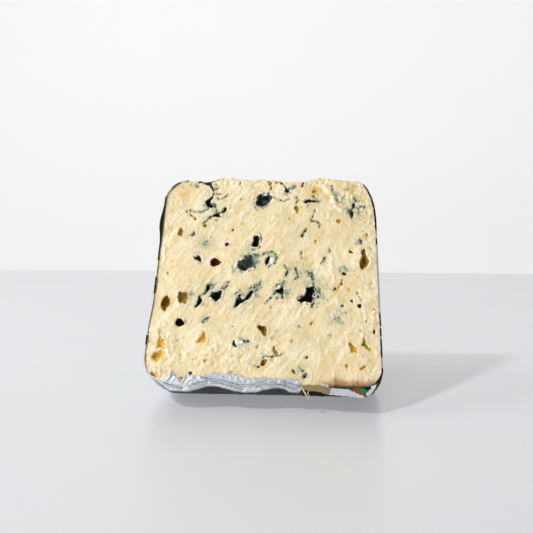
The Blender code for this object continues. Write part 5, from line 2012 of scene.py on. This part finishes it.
def blue_cheese_paste():
    """Moist ewe's-milk paste, pressed, ripened and cut: cream, with a soft fatty gloss and a little
    light under its skin, yellower where it dried, and blue-green mould in its holes and cracks.

    The mesh's named values tell how far a place is inside a hole, so that the edges are crisp.
    """
    material, tree = new_material("blue_cheese_paste")
    place = add(tree, "ShaderNodeTexCoord").outputs["Object"]
    turn = Vector(KNIFE_ALONG).to_track_quat("Z", "Y").to_euler()
    inputs = {"Vector": place, "Rotation": turn, "Scale": (1.0, 1.0, SMEAR_STRETCH)}
    along = add(tree, "ShaderNodeMapping", inputs, vector_type="TEXTURE").outputs[0]
    noise = {}
    for name, size, detail in PASTE_NOISE:
        vector = along if name.startswith("smear") else place
        inputs = {"Vector": vector, "Scale": 1 / (size * MM), "Detail": detail}
        noise[name] = add(tree, "ShaderNodeTexNoise", inputs).outputs["Fac"]
    inputs = {0: noise["fine"], 1: 0.5}
    fine = add(tree, "ShaderNodeMath", inputs, operation="SUBTRACT").outputs[0]

    # Bare holes are resinous brown inside, from nearly black, partly painted shade in deep ones, to
    # amber
    tone = add(tree, "ShaderNodeAttribute", attribute_name="tone").outputs["Fac"]
    resin = add(tree, "ShaderNodeValToRGB", {"Fac": tone})
    ramp = resin.color_ramp.elements
    ramp.remove(ramp[1])
    for number, (position, code) in enumerate(RESIN_STOPS):
        stop = ramp.new(position) if number else ramp[0]
        stop.position, stop.color = position, srgb(code)

    # Mould holes are lined from nearly black, which is painted shade, to grey-green mould
    inputs = {FACTOR: tone, UNDER: srgb(LINING_SHADE_TO_MOULD[0]), OVER: srgb(LINING_SHADE_TO_MOULD[1])}
    shade_to_mould = add(tree, "ShaderNodeMix", inputs, data_type="RGBA")
    linings = {"resin": resin.outputs["Color"], "shade_to_mould": shade_to_mould.outputs[BLEND]}

    color = srgb(PASTE_COLOR)
    for name, low, high, strength, code in PASTE_PATCHES:
        inputs = {"Value": noise[name], "From Min": low, "From Max": high, "To Max": strength}
        amount = add(tree, "ShaderNodeMapRange", inputs, interpolation_type="SMOOTHSTEP").outputs[0]
        inputs = {FACTOR: amount, UNDER: color, OVER: srgb(code)}
        color = add(tree, "ShaderNodeMix", inputs, data_type="RGBA").outputs[BLEND]
    amounts = []
    for name, wobble, low, high, strength, code in PASTE_MARKS:
        mark = add(tree, "ShaderNodeAttribute", attribute_name=name).outputs["Fac"]
        inputs = {0: fine, 1: wobble, 2: mark}
        mark = add(tree, "ShaderNodeMath", inputs, operation="MULTIPLY_ADD").outputs[0]
        inputs = {"Value": mark, "From Min": low, "From Max": high, "To Max": strength}
        amount = add(tree, "ShaderNodeMapRange", inputs, interpolation_type="SMOOTHSTEP").outputs[0]
        amounts.append(amount)
        laid_on = linings[code] if code in linings else srgb(code)
        inputs = {FACTOR: amount, UNDER: color, OVER: laid_on}
        color = add(tree, "ShaderNodeMix", inputs, data_type="RGBA").outputs[BLEND]

    # The last two marks are the holes, whose linings let no light in under the skin
    inputs = {0: amounts[-1], 1: amounts[-2]}
    inside = add(tree, "ShaderNodeMath", inputs, operation="MAXIMUM").outputs[0]
    inputs = {"Value": inside, "To Min": SKIN_GLOW, "To Max": 0.0}
    flesh = add(tree, "ShaderNodeMapRange", inputs).outputs[0]
    inputs = {"Value": noise["gloss"], "To Min": PASTE_ROUGHNESS[0], "To Max": PASTE_ROUGHNESS[1]}
    roughness = add(tree, "ShaderNodeMapRange", inputs).outputs[0]
    inputs = {"Height": noise["crumb"], "Strength": 0.6, "Distance": CRUMB_HEIGHT * MM}
    bump = add(tree, "ShaderNodeBump", inputs).outputs[0]
    inputs = {
        "Base Color": color,
        "Roughness": roughness,
        "Normal": bump,
        "Subsurface Weight": flesh,
        "Subsurface Radius": SKIN_GLOW_RADIUS,
        "Subsurface Scale": SKIN_GLOW_DEPTH * MM,
        "IOR": PASTE_IOR,
    }
    shader = add(tree, "ShaderNodeBsdfPrincipled", inputs)
    add(tree, "ShaderNodeOutputMaterial", {"Surface": shader.outputs[0]})
    return material


def aluminium_foil():
    """Thin rolled aluminium, crumpled and smoothed out again by hand: pale grey with a satin sheen
    that breaks up over fine crinkles, and with shade painted dark on the side it stands on.
    """
    material, tree = new_material("aluminium_foil")
    place = add(tree, "ShaderNodeTexCoord").outputs["Object"]
    painted_shade = add(tree, "ShaderNodeAttribute", attribute_name="painted_shade").outputs["Fac"]
    inputs = {"Vector": place, "Scale": 1 / (FOIL_CLOUD_SIZE * MM), "Detail": 4.0}
    clouds = add(tree, "ShaderNodeTexNoise", inputs).outputs["Fac"]
    inputs = {"Vector": place, "Scale": 1 / (FOIL_CRINKLE_SIZE * MM)}
    crinkles = add(tree, "ShaderNodeTexVoronoi", inputs).outputs["Distance"]
    inputs = {FACTOR: clouds, UNDER: srgb(FOIL_COLORS[0]), OVER: srgb(FOIL_COLORS[1])}
    clean = add(tree, "ShaderNodeMix", inputs, data_type="RGBA").outputs[BLEND]
    # Darker foil colours where shade is painted on
    inputs = {FACTOR: clouds, UNDER: srgb(PAINTED_SHADE_COLORS[0]), OVER: srgb(PAINTED_SHADE_COLORS[1])}
    shaded_foil = add(tree, "ShaderNodeMix", inputs, data_type="RGBA").outputs[BLEND]
    inputs = {FACTOR: painted_shade, UNDER: clean, OVER: shaded_foil}
    color = add(tree, "ShaderNodeMix", inputs, data_type="RGBA").outputs[BLEND]
    inputs = {"Value": clouds, "To Min": FOIL_ROUGHNESS[0], "To Max": FOIL_ROUGHNESS[1]}
    roughness = add(tree, "ShaderNodeMapRange", inputs).outputs[0]
    inputs = {"Height": crinkles, "Strength": 0.5, "Distance": FOIL_CRINKLE_HEIGHT * MM}
    bump = add(tree, "ShaderNodeBump", inputs).outputs[0]
    inputs = {"Base Color": color, "Roughness": roughness, "Metallic": 1.0, "Normal": bump}
    shader = add(tree, "ShaderNodeBsdfPrincipled", inputs)
    add(tree, "ShaderNodeOutputMaterial", {"Surface": shader.outputs[0]})
    return material


def paper(name, code, rubbed_code, roughness):
    """Label paper or a field of print on it: felted fibres show as a fine bump and an uneven shade,
    and the folds and edges are rubbed to another colour.
    """
    material, tree = new_material(name)
    place = add(tree, "ShaderNodeTexCoord").outputs["Object"]
    inputs = {"Vector": place, "Scale": 1 / (FIBRE_SIZE * MM), "Detail": 4.0}
    fibres = add(tree, "ShaderNodeTexNoise", inputs).outputs["Fac"]
    inputs = {"Vector": place, "Scale": 1 / (PAPER_CLOUD_SIZE * MM), "Detail": 3.0}
    clouds = add(tree, "ShaderNodeTexNoise", inputs).outputs["Fac"]
    edges = add(tree, "ShaderNodeNewGeometry").outputs["Pointiness"]
    inputs = {"Value": edges, "From Min": 0.52, "From Max": 0.62, "To Max": 0.7}
    worn = add(tree, "ShaderNodeMapRange", inputs).outputs[0]
    inputs = {"Value": clouds, "From Min": 0.5, "From Max": 0.75, "To Max": 0.5}
    rubbed = add(tree, "ShaderNodeMapRange", inputs).outputs[0]
    rubbed = add(tree, "ShaderNodeMath", {0: worn, 1: rubbed}, operation="MAXIMUM").outputs[0]
    inputs = {FACTOR: rubbed, UNDER: srgb(code), OVER: srgb(rubbed_code)}
    color = add(tree, "ShaderNodeMix", inputs, data_type="RGBA").outputs[BLEND]
    inputs = {"Value": fibres, "To Min": roughness - 0.1, "To Max": roughness + 0.1}
    gloss = add(tree, "ShaderNodeMapRange", inputs).outputs[0]
    inputs = {"Height": fibres, "Strength": 0.4, "Distance": FIBRE_HEIGHT * MM}
    bump = add(tree, "ShaderNodeBump", inputs).outputs[0]
    inputs = {"Base Color": color, "Roughness": gloss, "Normal": bump}
    inputs["Specular IOR Level"] = PAPER_SPECULAR
    shader = add(tree, "ShaderNodeBsdfPrincipled", inputs)
    add(tree, "ShaderNodeOutputMaterial", {"Surface": shader.outputs[0]})
    return material


def pale_surface(name, code, cloud_code, glow_code, roughness, glow):
    """A plain pale studio surface with faint broad clouds; a little glow keeps its shadows soft."""
    material, tree = new_material(name)
    place = add(tree, "ShaderNodeTexCoord").outputs["Object"]
    inputs = {"Vector": place, "Scale": 1 / (STAGE_CLOUD_SIZE * MM), "Detail": 3.0}
    clouds = add(tree, "ShaderNodeTexNoise", inputs).outputs["Fac"]
    inputs = {FACTOR: clouds, UNDER: srgb(code), OVER: srgb(cloud_code)}
    color = add(tree, "ShaderNodeMix", inputs, data_type="RGBA").outputs[BLEND]
    inputs = {"Base Color": color, "Roughness": roughness}
    inputs.update({"Emission Color": srgb(glow_code), "Emission Strength": glow})
    shader = add(tree, "ShaderNodeBsdfPrincipled", inputs)
    add(tree, "ShaderNodeOutputMaterial", {"Surface": shader.outputs[0]})
    return material


# ---------------------------------------------------------------- studio


def make_stage():
    """A plain pale table with a pale wall behind it."""
    left, right = -STAGE_HALF_WIDTH, STAGE_HALF_WIDTH
    near, far = TABLE_FRONT, TABLE_END
    table = [(left, near, 0), (right, near, 0), (right, far, 0), (left, far, 0)]
    behind = TABLE_END + WALL_BEHIND_TABLE
    wall = [(left, behind, WALL_FOOT), (right, behind, WALL_FOOT)]
    wall += [(right, behind, WALL_TOP), (left, behind, WALL_TOP)]
    surfaces = (("table", table, PALE_TABLE), ("wall", wall, PALE_WALL))
    for name, points, looks in surfaces:
        material = pale_surface(*looks)
        new_piece(name, points, [(0, 1, 2, 3)], [material], smooth=False)


def make_lamp(name, shines_along, distance, size, energy):
    """A round lamp that lights the wedge along a direction."""
    lamp = bpy.data.lights.new(name, "AREA")
    lamp.shape = "DISK"
    lamp.size = size
    lamp.energy = energy
    holder = bpy.data.objects.new(name, lamp)
    toward = Vector(shines_along).normalized()
    holder.location = Vector(LAMPS_AIM) - toward * distance
    holder.rotation_euler = toward.to_track_quat("-Z", "Y").to_euler()
    bpy.context.scene.collection.objects.link(holder)


def make_light():
    """A dim room, a small key lamp from the front left, and broad lamps from the left and front."""
    world = bpy.data.worlds.new("soft_room")
    world.use_nodes = True
    background = world.node_tree.nodes["Background"]
    background.inputs["Color"].default_value = (1.0, 1.0, 1.0, 1.0)
    background.inputs["Strength"].default_value = ROOM_BRIGHTNESS
    bpy.context.scene.world = world
    for lamp in LAMPS:
        make_lamp(*lamp)


def make_camera():
    """A camera at the photograph's angle, as far from the wedge as its own was."""
    lens = bpy.data.cameras.new("camera")
    lens.sensor_width = SENSOR
    lens.lens = SENSOR * FOCAL_PIXELS / IMAGE_SIDE
    lens.clip_start = 0.01
    camera = bpy.data.objects.new("camera", lens)
    x = CAMERA_ASIDE + CAMERA_DISTANCE * math.sin(CAMERA_AZIMUTH)
    y = -CAMERA_DISTANCE * math.cos(CAMERA_AZIMUTH)
    camera.location = Vector((x, y, CAMERA_HEIGHT)) * MM
    camera.rotation_euler = (math.pi / 2 - CAMERA_PITCH, 0, CAMERA_AZIMUTH)
    bpy.context.scene.collection.objects.link(camera)
    bpy.context.scene.camera = camera
    bpy.context.scene.view_settings.view_transform = "Standard"


# ---------------------------------------------------------------- the dressed part

make_camera()
make_light()
make_stage()
cheese = make_cheese(blue_cheese_paste())
foil = make_foil(aluminium_foil())
papers = [paper(*row) for row in PAPERS]
left_label = side_label("left_label", -1, LEFT_LABEL_REACH, LEFT_MARGIN, BLACK, papers)
right_label = side_label("right_label", 1, RIGHT_LABEL_REACH, RIGHT_MARGIN, BROWN, papers)
# Each piece, the solid that it stands for, and the material slot of that solid
dressed = [
    (cheese, "cheese", "cheese_paste"),
    (foil, "foil_wrap", "foil"),
    (left_label, "label_left", "label_paper"),
    (right_label, "label_right", "label_paper"),
    (make_flap(papers), "label_right", "label_paper"),
]
for number, (width, line) in enumerate(SHREDS):
    shred = make_shred(f"paper_shred_{number + 1}", width, line, papers)
    dressed.append((shred, "label_right", "label_paper"))
for piece, node, slot in dressed:
    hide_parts(node)
    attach(piece, "root")
